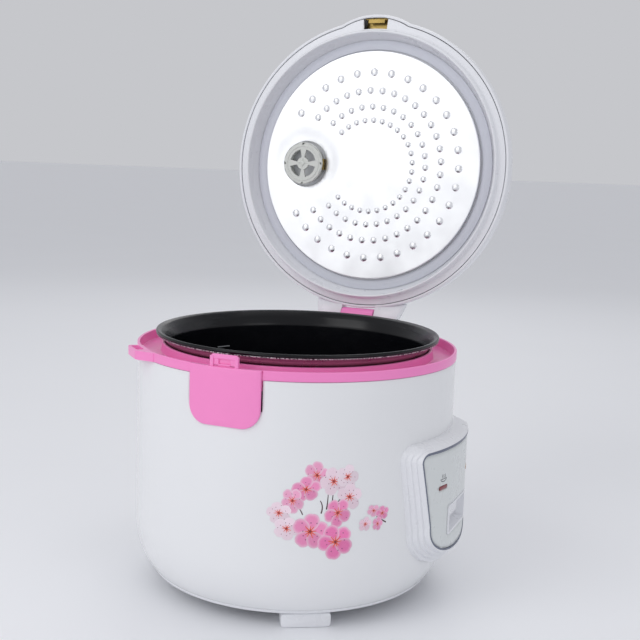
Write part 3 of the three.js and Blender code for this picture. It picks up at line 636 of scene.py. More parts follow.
# ---- Pink ring --------------------------------------------------------------------------------------
def ring_patches(count):
    """Collar, drip trough and spigot as one turned section, and the band, which stops at the latch."""
    collar = rounded([
        (116.2, 192.3), (116.2, 198.9), (133.3, 198.9), (133.3, 192.3), (134.2, 192.3), (134.2, 200.5, 0.5),
        (117.4, 200.5, 0.9), (116.6, 208.2, 0.8), (114.4, 208.2, 0.7), (114.4, 192.3)], closed=True)
    band = rounded([
        (133.4, 192.3), (135.3, 192.3), (135.3, BAND_LOW), (137.4, BAND_LOW, 0.2), (137.4, BAND_TOP, 0.8),
        (135.1, BAND_TOP, 0.8), (134.7, 200.5, 0.4), (133.4, 200.4)], closed=True)
    half_gap = 13.0
    notch = 6.2  # degrees to each side of the latch where the outer leg is left out, so that the tab can swing
    short = rounded([
        (116.2, 192.3), (116.2, 198.9), (132.4, 198.9), (132.4, 200.5), (117.4, 200.5, 0.9),
        (116.6, 208.2, 0.8), (114.4, 208.2, 0.7), (114.4, 192.3)], closed=True)
    return [turned(collar, count, along=True, start=notch, sweep=360 - 2 * notch),
            turned(short, 8, along=True, start=-notch, sweep=2 * notch),
            turned(band, count, along=True, start=half_gap, sweep=360 - 2 * half_gap)]


def paddle_loop():
    """The loop for a rice paddle: an eye outside the band, drawn at the latch side and turned to -44."""
    corners = [(-10.5, -134.6, 0), (-13.4, -144.6, 2.4), (-11.0, -146.3, 2), (12.3, -146.3, 2.4),
               (16.2, -144.6, 5), (27.0, -135.2, 5), (27.0, -134.4, 0)]
    outer = rounded(corners, closed=True, step=9)
    eye = box_outline(-9.5, 9.5, -144.3, -138.1, 1.6, 0, 5)
    flat, faces = trimmed(outer, [eye], np.zeros((0, 2)))
    top = BAND_TOP - 0.05
    patches = [(facing_up(flat[:, 0], flat[:, 1], top), faces.tolist(), [0] * len(faces)),
               (facing_up(flat[:, 0], flat[:, 1], BAND_LOW), faces[:, ::-1].tolist(), [0] * len(faces))]
    for loop, way in ((outer, 1), (eye, -1)):
        loop = loop if way > 0 else loop[::-1]
        area = 0.5 * np.sum(loop[:, 0] * np.roll(loop[:, 1], -1) - np.roll(loop[:, 0], -1) * loop[:, 1])
        loop = loop if (area > 0) == (way > 0) else loop[::-1]
        walls = np.array([facing_up(loop[:, 0], loop[:, 1], z) for z in (BAND_LOW, top)])
        patches.append(grid(walls, around=True))
    a = np.radians(-44)
    spin = np.array([[np.cos(a), np.sin(a), 0], [-np.sin(a), np.cos(a), 0], [0, 0, 1]])
    return [(points @ spin, quads, paints) for points, quads, paints in patches]


def hinge_barrel():
    """The body's half of the hinge: a block on the band that grows into a barrel along X."""
    y, z = HINGE[1], HINGE[2]
    half = 16.6
    barrel = oval(y, z, 8.9, 8.9, -118, 193.6, 46)
    outline = np.concatenate([[[136.2, BAND_LOW]], [[149.0 - 4.6, BAND_LOW]], barrel, [[136.2, 209.3]]])
    shrink = lambda d: outline + (np.array([y - 3, z - 2]) - outline) * (d / 14)
    layers = [np.stack([np.full(len(outline), x), *shrink(d).T], -1)
              for x, d in ((-half, 0.5), (-half + 0.4, 0), (half - 0.4, 0), (half, 0.5))]
    return [capped(np.array(layers))]


# ---- Latch ------------------------------------------------------------------------------------------
def latch_patches():
    """The press flap with its top ledge, and the upright hook tab with side flanges and a catch slot."""
    low, high = span("latch_lever", 2)[0], BAND_TOP
    half = 30.2

    def flap(inset):
        left, right = -half + inset, half - inset
        corner = 15 - inset
        t = np.radians(np.linspace(0, 90, 15))
        bottom = low + inset
        bl = np.stack([left + corner - corner * np.cos(t), bottom + corner - corner * np.sin(t)], 1)
        br = np.stack([right - corner + corner * np.sin(t), bottom + corner - corner * np.cos(t)], 1)
        side = np.linspace(low + 18, high - inset, 14)
        up = np.stack([np.full(14, right), side], 1)
        over = np.stack([np.linspace(right, left, 26)[1:-1], np.full(24, high - inset)], 1)
        return np.concatenate([bl, br, up, over, up[::-1] * [-1, 1]])

    edge = [(0.3, 137.45), (0, 137.7), (0, 138.5), (0.12, 138.85), (0.4, 139.1), (0.9, 139.2)]
    walls = [round_latch(*flap(inset).T, r) for inset, r in edge]
    face = grid(np.array(walls), around=True)
    section = rounded([(134.9, high - 2.4), (138.4, high - 2.4), (138.4, high - 0.02, 0.6), (134.9, high, 0.6)],
                      closed=True)
    ledge = turned(section, 40, along=True, start=-12.6, sweep=25.2)
    patches = [face, ledge, face_over(flap(0.9), round_latch, 139.2),
               face_over(flap(0.3), round_latch, 137.45, front=False)]
    tab_low, tab_top = 176.0, 218.0
    for side in (-1, 1):
        left, right = sorted((side * 9.0, side * 12.0))
        patches.append(block(left, right, 204.0, tab_top - 1.2, 134.9, 137.6, facing_latch, 0.5, 0.35))
    patches.append(block(-9.4, 9.4, tab_low, 209.8, 134.9, 136.6, facing_latch, 0.3, 0.2))
    patches.append(block(-9.4, -5.0, 209.0, tab_top - 3, 134.9, 136.6, facing_latch, 0.3, 0.2))
    patches.append(block(5.0, 9.4, 209.0, tab_top - 3, 134.9, 136.6, facing_latch, 0.3, 0.2))
    patches.append(block(-5.4, 5.4, 209.4, 210.6, 135.2, 137.2, facing_latch, 0.3, 0.2))
    patches.append(block(-11.2, 11.2, 214.4, tab_top, 134.9, 137.1, facing_latch, 1.6, 0.5))
    patches.append(block(-5.2, 5.2, 209.4, 214.8, 134.9, 135.4, facing_latch, 0.2, 0.1))
    hub = oval(-129.5, 171, 3, 3, 0, 360, 25)[:-1]
    patches.append(capped(np.array([np.stack([np.full(24, x), *hub.T], -1) for x in (-19.0, 19.0)])))
    patches.append(block(-19, 19, 169, 173, 129.5, 136.0, facing_latch, 0.4, 0.2))
    return patches


# ---- Pot and what it stands on ----------------------------------------------------------------------
def pot_patches(count):
    """The drawn pot: spun aluminium outside, coated inside, with a flared and curled rim."""
    outer = 112.6
    corner_out = oval(outer - 24, POT_FLOOR + 24, 24, 24, -90, 0, 16)
    flare_out = rounded([(outer, 84), (outer, 206.5, 8), (115.4, 212.2, 5), (118.6, 215.3, 4), (121.2, 215.4)])
    curl = oval(RIM_R - 1.25, RIM_TOP - 1.7, 1.25, 1.7, -62, 100, 12)
    flare_in = rounded([
        (119.6, RIM_TOP - 0.25), (117.4, RIM_TOP - 1.3, 3), (114.3, 213.4, 3), (110.9, 206.2, 7), (110.9, 84)])
    corner_in = oval(outer - 24, POT_FLOOR + 24, 22.3, 22.3, 0, -90, 16)
    parts = [(np.array([[0, POT_FLOOR]]), 1), (corner_out, 1), (flare_out, 1), (np.array([[121.5, 215.75]]), 2),
             (curl, 0), (flare_in, 0), (corner_in, 0), (np.array([[0, POT_FLOOR + 1.7]]), 0)]
    profile = np.concatenate([points for points, _ in parts])
    paint = np.concatenate([np.full(len(points), k) for points, k in parts])[:-1]
    edge = rounded([(118.9, 214.7), (121.6, 215.0, 0.4), (121.75, 216.1, 0.3), (119.4, 215.9)], closed=True)
    lip = turned(edge, count, along=True, paint=2)
    return [turned(profile, count, paint=paint), lip]


MARK_R = 110.84  # a hair inside the pot's wall, which is at 110.9


def level_marks():
    """Plain water-level strokes printed on the pot's inner wall, on the inlet side."""
    patches = []
    for k in range(8):
        half = 7.0 if k % 2 else 4.0
        a = np.radians(243) + np.linspace(-half, half, 9) / 110.8
        z = 86 + 14.4 * k
        x, y = MARK_R * np.sin(a), -MARK_R * np.cos(a)
        rows = [np.stack([x, y, np.full(9, z + half_stroke)], -1) for half_stroke in (0.45, -0.45)]
        patches.append(grid(np.array(rows)))
    return patches


# ---- Control panel ----------------------------------------------------------------------------------
FACE = np.array([140, 53, 80, 62.2, 50.1, 6.0])  # top, bottom, shoulder, half at top, half at shoulder, corner
BORDER = np.array([146.5, 39.5, 76, 67.2, 58, 12.0])
STEP_PLACES = np.array([0.0, 0.278, 0.556, 0.833])  # share of the way from the border to the face
STEP_RADII = np.array([137.0, 140.4, 143.6, 146.8, 150.6])


def panel_outline(shape, grow=0.0):
    """The panel's outline, anticlockwise from its lowest point, and how far each point belongs to the top edge.

    The bottom is the superellipse |y / half|^2.4 + |drop / height|^2.4 = 1, the sides are straight and the
    upper corners are arcs.
    """
    top, bottom, shoulder, top_half, low_half, corner = shape + grow * np.array([1, -1, 0, 1, 1, 1])
    t = np.linspace(0, np.pi / 2, 30)
    power = 2 / 2.4
    drop = (shoulder - bottom) * np.cos(t) ** power
    low = np.stack([low_half * np.sin(t) ** power, shoulder - drop], 1)
    rise = np.linspace(0, 1, 18)[1:-1, None]
    side = low[-1] + (np.array([top_half, top - corner]) - low[-1]) * rise
    arc = oval(top_half - corner, top - corner, corner, corner, 0, 90, 14)
    over = np.stack([np.linspace(top_half - corner, 0, 26)[1:], np.full(25, top)], 1)
    half = np.concatenate([low, side, arc, over])
    lift = np.concatenate([np.zeros(len(low) + len(side)), smooth(np.linspace(0, 1, 14)) * 0.55,
                           0.55 + 0.45 * smooth(np.linspace(0, 1, 25) * 4)])
    return np.concatenate([half, (half[:-1] * [-1, 1])[:0:-1]]), np.concatenate([lift, lift[:-1][:0:-1]])


def panel_housing():
    """The surround: between its border and the face the sides and bottom climb in four steps, and the top
    rises in one smooth slope; both are radii from the body's axis, mixed by how far a point is on top."""
    border, lift = panel_outline(BORDER)
    face, _ = panel_outline(FACE, 1.5)
    t = np.unique(np.concatenate([np.linspace(0, 1, 61), *(p + np.linspace(0, 0.055, 9) for p in STEP_PLACES)]))
    t = t[t <= 1]
    rises = np.diff(STEP_RADII)
    stair = STEP_RADII[0] + sum(h * smooth((t - p) / 0.05) for p, h in zip(STEP_PLACES, rises))
    swell = np.sin(np.pi / 2 * np.clip(t / 0.96, 0, 1))
    slope = STEP_RADII[0] + 1.4 * smooth(t / 0.05) + (rises.sum() - 1.4) * swell
    radius = stair[:, None] * (1 - lift) + slope[:, None] * lift
    flat = border + (face - border) * t[:, None, None]
    rows = [round_panel(flat[k, :, 0], flat[k, :, 1], radius[k]) for k in range(len(t))]
    rows.insert(0, round_panel(border[:, 0], border[:, 1], 136.6))
    for r in (150.3, 148.6):
        rows.append(round_panel(face[:, 0], face[:, 1], r))
    return [grid(np.array(rows), around=True)]


def panel_trim():
    """The slate line round the face, wider along the top."""
    rows = []
    low, lift = panel_outline(FACE)
    high, _ = panel_outline(FACE, 1.45)
    for share, r in ((0.0, 148.7), (1.0, 148.7), (1.0, 150.45), (0.75, 150.75), (0.25, 150.75), (0.0, 150.45)):
        outline = low + (high - low) * share
        outline = outline + np.stack([0 * lift, -0.9 * lift * (1 - share)], 1)
        rows.append(round_panel(outline[:, 0], outline[:, 1], r))
    return [grid(np.array(rows)[::-1], around=True, along=True)]


WELL = (-24.4, 24.4, 66.2, 91.0)
LAMP_HALF = (6.5, 1.7)
LAMP_Y, LAMP_Z = 34.8, 109.0
KEY_LOW = 76.8  # the knob's lower edge


def lamp_outline(side, inset=0.0):
    return box_outline(side * LAMP_Y - LAMP_HALF[0], side * LAMP_Y + LAMP_HALF[0], LAMP_Z - LAMP_HALF[1],
                       LAMP_Z + LAMP_HALF[1], 1.5, inset, 5)


def panel_face():
    """The face: a sheet bent about the body's axis, with openings for the key's well and the two lamps."""
    outline, _ = panel_outline(FACE, -0.4)
    holes = [box_outline(*WELL, 2.4, -0.25), lamp_outline(1, -0.2), lamp_outline(-1, -0.2)]
    y, z = np.meshgrid(np.arange(-60, 61, 3.0), np.arange(54, 140, 3.0))
    inner = np.stack([y.ravel(), z.ravel()], 1)
    flat, faces = trimmed(outline, holes, inner[inside(inner, panel_outline(FACE, -2.0)[0])])
    return [(round_panel(flat[:, 0], flat[:, 1], 150.2), faces.tolist(), [0] * len(faces))]


def well_tray():
    """The well that the key runs in: a raised frame, sloping walls and a floor."""
    profile = [(0, 140.6), (0, 150.6), (0.2, 151.0), (0.6, 151.15), (1.5, 151.15), (2.0, 150.9), (3.0, 142.4),
               (3.5, 141.8), (4.4, 141.6)]
    rows = [round_panel(*box_outline(*WELL, 2.4, inset, 6).T, r) for inset, r in profile]
    return [grid(np.array(rows), around=True),
            face_over(box_outline(*WELL, 2.4, profile[-1][0], 6), round_panel, profile[-1][1])]


def key_patches():
    """The cook key: a knob with a shallow finger dip, its stem and its heel."""
    low, high = KEY_LOW, KEY_LOW + 12.8
    front = span("cook_key", 0)[1]
    profile = [(0, 142.6), (0, front - 1.4), (0.35, front - 0.5), (1.0, front - 0.05), (1.7, front),
               (3.4, front - 0.5), (5.2, front - 0.8)]
    return [
        tablet(lambda d: box_outline(-12, 12, low, high, 2.6, d, 6), profile, facing_panel),
        block(-3, 3, low + 4.2, low + 8.2, 120, 143, facing_panel),
        block(-4, 4, low - 0.8, low + 8.2, 119, 127, facing_panel),
    ]


def panel_marks():
    """Plain signs in place of words: three strokes of steam over a bowl, and a small sun."""
    patches = []

    def print_on(edges):
        rows = [round_panel(e[:, 0], e[:, 1], 150.26) for e in edges]
        patches.append(grid(np.array(rows)))

    t = np.linspace(0, 1, 12)
    for k in (-1, 0, 1):
        wave = np.stack([-LAMP_Y + 2.2 * k + 0.35 * np.sin(2 * np.pi * t), 117.0 + 3.0 * t], 1)
        print_on(ribbon(wave, 0.5))
    bowl = np.stack([-LAMP_Y + 4.2 * np.cos(np.pi * (1 + t)), 116.2 + 2.2 * np.sin(np.pi * (1 + t))], 1)
    print_on(ribbon(bowl, 0.6))
    print_on(ribbon(np.stack([-LAMP_Y + np.linspace(-5, 5, 12), np.full(12, 116.2)], 1), 0.5))
    sun = np.stack([LAMP_Y + 1.5 * np.cos(2 * np.pi * t), 117.2 + 1.5 * np.sin(2 * np.pi * t)], 1)
    print_on(ribbon(sun, 0.5))
    for a in np.radians(np.arange(0, 360, 45)):
        ray = np.array([LAMP_Y, 117.2]) + np.linspace(2.3, 3.4, 4)[:, None] * [np.cos(a), np.sin(a)]
        print_on(ribbon(ray, 0.45))
    return patches


# ---- Power inlet ------------------------------------------------------------------------------------
INLET_Z = 74.0


def inlet_patches():
    """The inlet: a flange with a deep recess for the plug."""
    profile_out = [(3.6, 119), (3.0, 119.2), (3.0, 137.2), (0.3, 137.3), (0, 137.6), (0, 139.0), (0.4, 139.4)]

    def outline(inset):
        return box_outline(-21, 21, INLET_Z - 15, INLET_Z + 15, 3, inset, 5)

    def recess(inset):
        return box_outline(-12, 12, INLET_Z - 8.5, INLET_Z + 8.5, 2, inset, 5)

    layers = [(outline(d), h) for d, h in profile_out]
    profile_in = [(-0.7, 139.4), (-0.2, 139.2), (0, 138.7), (0, 121.4), (0.4, 121)]
    layers += [(recess(d), h) for d, h in profile_in]
    return [capped(np.array([facing_inlet(o[:, 0], o[:, 1], h) for o, h in layers]))]


def pin_patch(y, z):
    """An inlet pin: a round rod with a domed tip."""
    t = np.linspace(0, 2 * np.pi, 25)[:-1]
    rows = [(0.0, 121.3), (1.9, 121.3), (1.9, 131.6), (1.6, 132.5), (0.9, 132.95), (0.0, 133)]
    points = np.array([facing_inlet(y + r * np.cos(t), z + r * np.sin(t), h) for r, h in rows])
    return grid(points, around=True)


# ---- Lid, drawn closed ------------------------------------------------------------------------------
LID_R, LID_LOW = 141.3, 209.8
NOSE_R, NOSE_Y = 69.9, 76.4
PLATE_R, PLATE_Z = 112.1, 216.0
VALVE_X = -68.8
VALVE_HOLE_R = 23.5


def nose(angles, heights):
    """How far the lid stands out over the latch: the part of a circle that lies outside the lid's edge,
    fading out above it. The circle is seen from the axis at d cos a + sqrt(r^2 - d^2 sin^2 a)."""
    across = NOSE_Y * np.sin(angles)
    seen = NOSE_Y * np.cos(angles) + np.sqrt(np.maximum(NOSE_R ** 2 - across ** 2, 0))
    bump = np.where((np.cos(angles) > 0.5) & (np.abs(across) < NOSE_R), np.maximum(seen - LID_R, 0), 0)
    shoulders = 1 - smooth((np.abs(LID_R * np.sin(angles)) - 30.5) / 5.5)
    return bump * shoulders * (1 - smooth((heights - 220) / 8))


def lid_cover_patches(count):
    """The outer cover: dome, edge and the bump over the latch, with the well for the steam cap."""
    dome = np.concatenate([
        oval(107, 222, LID_R - 107, 29, 0, 72, 22),
        rounded([(107 + (LID_R - 107) * np.cos(np.radians(74)), 222 + 29 * np.sin(np.radians(74))),
                 (84, 254.8, 60), (45, 260.2, 90), (0.001, 262)]),
        [[0, 262]]])
    edge = rounded([(LID_R - 3.1, LID_LOW + 2.6), (LID_R - 3.1, LID_LOW, 0.7), (LID_R - 0.7, LID_LOW, 0.8),
                    (LID_R, LID_LOW + 3.4, 6), (LID_R, 222)])
    inner = np.concatenate([
        [[0, 259.6]], oval(107, 222, LID_R - 107 - 2.4, 26.6, 72, 0, 12), [[LID_R - 2.6, 214]]])
    profile = np.concatenate([inner, edge[:-1], dome])
    patches = [turned(profile, count, swell=nose)]
    boss = rounded([(18.9, 246), (26.2, 246), (26.2, 260.4, 1.2), (19.2, 260.4, 0.6)], closed=True)
    patches.append(turned(boss, 72, along=True, centre=(VALVE_X, 0)))
    return patches


def hinge_arms():
    """The lid's two hinge arms: a rounded hook round the pin on each side, its outer side sloping out
    towards the lid."""
    hook = oval(HINGE[1], HINGE[2], 9.0, 9.0, -90, 90, 22)
    outline = np.concatenate([[[134.5, 214.2]], [[138.8, LID_LOW + 0.1]], hook, [[134.5, 226.0]]])
    spread = 44.4 - 0.34 * (outline[:, 0] - 138.8)
    centre = np.array([HINGE[1] - 4, HINGE[2] + 2])
    patches = []
    for side in (-1, 1):
        rows = []
        for share, shrink in ((0.0, 0.05), (0.02, 0.0), (0.96, 0.0), (0.985, 0.03), (1.0, 0.1)):
            flat = outline + (centre - outline) * shrink
            x = side * (17.4 + (spread - 17.4) * share)
            rows.append(np.stack([x, flat[:, 0], flat[:, 1]], -1))
        rows = np.array(rows)
        patches.append(capped(rows if side > 0 else rows[::-1]))
    return patches


def liner_patches(count):
    """The lid's inner liner: flange, rib and channel, in two part turns that leave the catch window open."""
    half = np.degrees(np.arcsin(12.35 / 137))
    section = rounded([
        (100, 221.4), (123.4, 221.4, 1.2), (126.6, 213.0, 3), (128.0, 205.4, 1.2), (129.6, 204.8, 0.9),
        (131.4, 210.3, 1.6), (137.6, 210.5, 0.4), (137.6, 212.6), (129, 212.6), (127.2, 221), (124.4, 223.4),
        (100, 223.4)][::-1], closed=True)
    short = rounded([
        (100, 221.4), (123.4, 221.4, 1.2), (126.6, 213.0, 3), (128.0, 205.4, 1.2), (129.6, 204.8, 0.9),
        (131.2, 210.3, 1.6), (132.2, 210.4), (132.2, 212.6), (129, 212.6), (127.2, 221), (124.4, 223.4),
        (100, 223.4)][::-1], closed=True)

    def outward(angles, heights):
        return nose(angles, np.full_like(heights, 210.0))

    def flange_only(section_points):
        share = smooth((section_points[:, 0] - 131.6) / 5)[:, None]
        return lambda angles, heights: outward(angles, heights) * share

    window = [turned(section, count, along=True, start=half, sweep=360 - 2 * half,
                     swell=flange_only(section)),
              turned(short, 10, along=True, start=-half, sweep=2 * half)]
    floor = turned(np.array([[0, 223.0], [100.5, 223.0], [100.5, 221.8], [0, 221.8]])[::-1], 96)
    lintel = turned(rounded([(142.9, 210.5), (144.4, 210.5), (144.4, 212.6), (142.9, 212.6)], closed=True), 10,
                    along=True, start=-half, sweep=2 * half)
    return window + [floor, lintel]


def drip_bumps():
    """Centres and radii of the drip bumps: four part rings that leave a gap towards the steam valve."""
    places = []
    for ring, count, reach, radius in ((44.8, 24, 134.0, 2.8), (58.0, 25, 134.7, 3.1), (73.8, 30, 141.0, 3.4),
                                       (91.4, 27, 146.4, 3.8)):
        a = np.radians(np.linspace(-reach, reach, count))
        places.append(np.stack([ring * np.cos(a), ring * np.sin(a), np.full(count, radius)], 1))
    return np.concatenate(places)


def plate_patches(bump_mm):
    """The aluminium inner lid: a pressed disc with drip bumps and a soft dish round the valve, a rolled
    edge and a turned lip at the valve hole."""
    bumps = drip_bumps()
    rim_t = np.linspace(0, 2 * np.pi, 241)[:-1]
    edge_r = PLATE_R - 1.6
    outline = edge_r * np.stack([np.sin(rim_t), -np.cos(rim_t)], 1)
    hole_t = np.linspace(0, 2 * np.pi, 97)[:-1]
    hole = np.array([VALVE_X, 0]) + VALVE_HOLE_R * np.stack([np.sin(hole_t), -np.cos(hole_t)], 1)
    near = [(share, k) for share in (0.0, 0.3, 0.6, 0.8, 0.92, 1.0, 1.15) for k in range(18 if share else 1)]
    ray = np.array([[s * np.cos(k * np.pi / 9), s * np.sin(k * np.pi / 9)] for s, k in near])
    dots = (bumps[:, None, :2] + bumps[:, None, 2:] * ray).reshape(-1, 2)
    a, b = np.meshgrid(np.arange(-110, 111, 3.4), np.arange(-110, 111, 3.4))
    mesh = np.stack([a.ravel(), b.ravel()], 1)
    gap = np.sqrt(((mesh[:, None] - bumps[None, :, :2]) ** 2).sum(-1)) / bumps[:, 2]
    mesh = mesh[(gap.min(1) > 1.35) & (np.hypot(*mesh.T) < edge_r - 1.5)]
    mesh = mesh[np.hypot(mesh[:, 0] - VALVE_X, mesh[:, 1]) > VALVE_HOLE_R + 1.2]
    flat, faces = trimmed(outline, [hole], np.concatenate([dots, mesh]))
    near_bump = np.sqrt(((flat[:, None] - bumps[None, :, :2]) ** 2).sum(-1)) / bumps[:, 2]
    dome = (np.clip(1 - near_bump ** 2, 0, 1) ** 0.8).max(1)
    from_valve = np.hypot(flat[:, 0] - VALVE_X, flat[:, 1])
    dish = 1.3 * (1 - smooth((from_valve - 27) / 11))
    z = PLATE_Z - bump_mm * dome + dish
    points = np.stack([flat[:, 0], flat[:, 1], z], 1)
    rim = rounded([(edge_r, PLATE_Z), (PLATE_R, PLATE_Z, 1.4), (PLATE_R, 220.9)])
    lip_z = PLATE_Z + 1.3
    lip = rounded([
        (VALVE_HOLE_R, lip_z), (VALVE_HOLE_R - 0.9, lip_z + 0.2, 0.5), (VALVE_HOLE_R - 1.1, lip_z + 3.4)])
    return [(points, faces[:, ::-1].tolist(), [0] * len(faces)), turned(rim, 240),
            turned(lip[::-1], 96, centre=(VALVE_X, 0))]


def valve_patches():
    """The steam valve: a disc with four sector openings, a centre pin and a skirt behind it."""
    edges = np.degrees(0.56)
    angles = np.radians(45 + np.sort(np.concatenate([
        np.array([t - edges, t - edges / 3, t + edges / 3, t + edges, t + 37, t + 45, t + 53])
        for t in range(0, 360, 90)])))
    radii = np.array([2.2, 6.2, 8.9, 11.6, 14.2, 17.0, 20.4])
    r, a = np.meshgrid(radii, angles, indexing="ij")
    opening = ((radii[:-1] >= 6.2) & (radii[:-1] < 14.2))[:, None] & (np.arange(28) % 7 < 3)[None, :]
    low, high = 208.9, 211.1

    def sheet(z, flip):
        points = np.stack([VALVE_X + r * np.sin(a), -r * np.cos(a), np.full_like(r, z)], -1)
        made = grid(points, around=True, keep=~opening)
        return (made[0], [q[::-1] for q in made[1]], made[2]) if flip else made

    patches = [sheet(low, False), sheet(high, True)]
    fine = np.linspace(-0.56, 0.56, 9)
    for turn in np.radians(np.arange(45, 360, 90)):
        ways = [(14.2, fine), (6.2, fine[::-1])]
        loop = np.concatenate([
            np.stack([VALVE_X + q * np.sin(turn + f), -q * np.cos(turn + f)], 1) for q, f in ways])
        patches.append(grid(np.array([facing_up(loop[:, 0], loop[:, 1], z) for z in (high, low)]), around=True))
    rim = rounded([(20.4, low), (21.0, low + 0.5, 0.4), (21.0, high - 0.3, 0.3), (20.4, high)])
    pin = rounded([(0.0001, 207.9), (1.9, 207.9, 0.7), (2.2, low)])
    skirt = rounded([(15.5, high), (18.4, high), (18.4, 220.7), (15.5, 220.7)], closed=True)
    ring = rounded([(16.4, low + 0.2), (16.7, low - 0.5, 0.2), (17.5, low - 0.5, 0.2), (17.8, low + 0.2)])
    for profile, along in ((rim, False), (pin, False), (skirt, True), (ring, False)):
        patches.append(turned(profile, 72, along=along, centre=(VALVE_X, 0)))
    return patches


def steam_cap_patches():
    """The steam cap on top of the lid: a disc with six steam slots, a rim and a push-in stem."""
    radii = np.array([0.0, 5.0, 8.0, 11.5, 14.5, 18.0, 21.5])
    angles = np.radians(np.sort(np.concatenate([
        np.array([t - 9, t + 9, t + 21, t + 30, t + 39]) for t in range(0, 360, 60)])))
    r, a = np.meshgrid(radii, angles, indexing="ij")
    slot = ((radii[:-1] >= 5) & (radii[:-1] < 14.5))[:, None] & (np.arange(30) % 5 == 0)[None, :]
    low, high = 261.0, 265.4

    def sheet(z, flip):
        points = np.stack([VALVE_X + r * np.sin(a), -r * np.cos(a), z - 0.0018 * r ** 2], -1)
        made = grid(points, around=True, keep=~slot)
        return (made[0], [q[::-1] for q in made[1]], made[2]) if flip else made

    patches = [sheet(high + 0.5, True), sheet(low + 1.4, False)]
    ends = [high + 0.5 - 0.0018 * 21.5 ** 2, low + 1.4 - 0.0018 * 21.5 ** 2]
    rim = rounded([(21.5, ends[1]), (25.0, low, 0.5), (25.0, low + 1.9, 1.0), (21.5, ends[0])])
    stem = rounded([(16.6, 246.2), (18.8, 246.2), (18.8, ends[1] + 0.3), (16.6, ends[1] + 0.3)], closed=True)
    return patches + [turned(rim, 96, centre=(VALVE_X, 0)), turned(stem, 72, along=True, centre=(VALVE_X, 0))]


# ---- Blossom print ----------------------------------------------------------------------------------
# Blossoms: place along the wall and height (mm), petal length (mm), turn (degrees), depth of pink, squash.
BLOSSOMS = (
    (74, 130, 11.5, 10, 0.7, 0.85), (87, 125, 11.5, 40, 0.12, 0.95), (98, 128, 10.0, 75, 0.05, 0.9),
    (66, 119, 12.0, 20, 0.85, 0.85), (56, 110, 10.5, 55, 0.65, 0.85), (46, 100, 10.0, 30, 0.1, 0.9),
    (100, 112, 11.0, 15, 0.12, 0.95), (52, 88, 10.5, 65, 0.1, 0.9), (91, 100, 12.0, 50, 0.9, 0.9),
    (70, 86, 14.5, 12, 0.85, 1.0), (90, 77, 14.5, 44, 1.0, 1.0), (114, 89, 6.2, 10, 0.25, 0.9),
    (121, 99, 6.0, 50, 0.6, 0.85), (129, 96, 6.6, 25, 0.85, 0.9), (125, 88, 5.8, 5, 0.75, 0.85),
)
# Twigs: the two ends and the bend between them (mm), and the width (mm).
TWIGS = (
    (58, 108, 62, 104, 64, 99, 0.9), (77, 110, 80, 106, 78, 100, 1.1), (83, 116, 83, 109, 82, 103, 1.0),
    (87, 116, 86, 109, 87, 104, 1.1), (95, 113, 91, 110, 88, 104, 0.9), (127, 100, 129, 96, 131, 91, 0.6),
    (132, 100, 132, 95, 131, 91, 0.6), (124, 94, 128, 91, 133, 88, 1.1),
)


INK_LIFT, INK_LAYER = 0.05, 0.002  # mm


def wrapped(flat, layer):
    """Lays a flat drawing (along the wall, height) on the painted wall, a hair above it; each layer of ink
    lies 2 micrometres over the last."""
    r = SHELL_R + INK_LIFT + INK_LAYER * layer
    a = flat[..., 0] / SHELL_R
    return np.stack([r * np.sin(a), -r * np.cos(a), flat[..., 1]], -1)


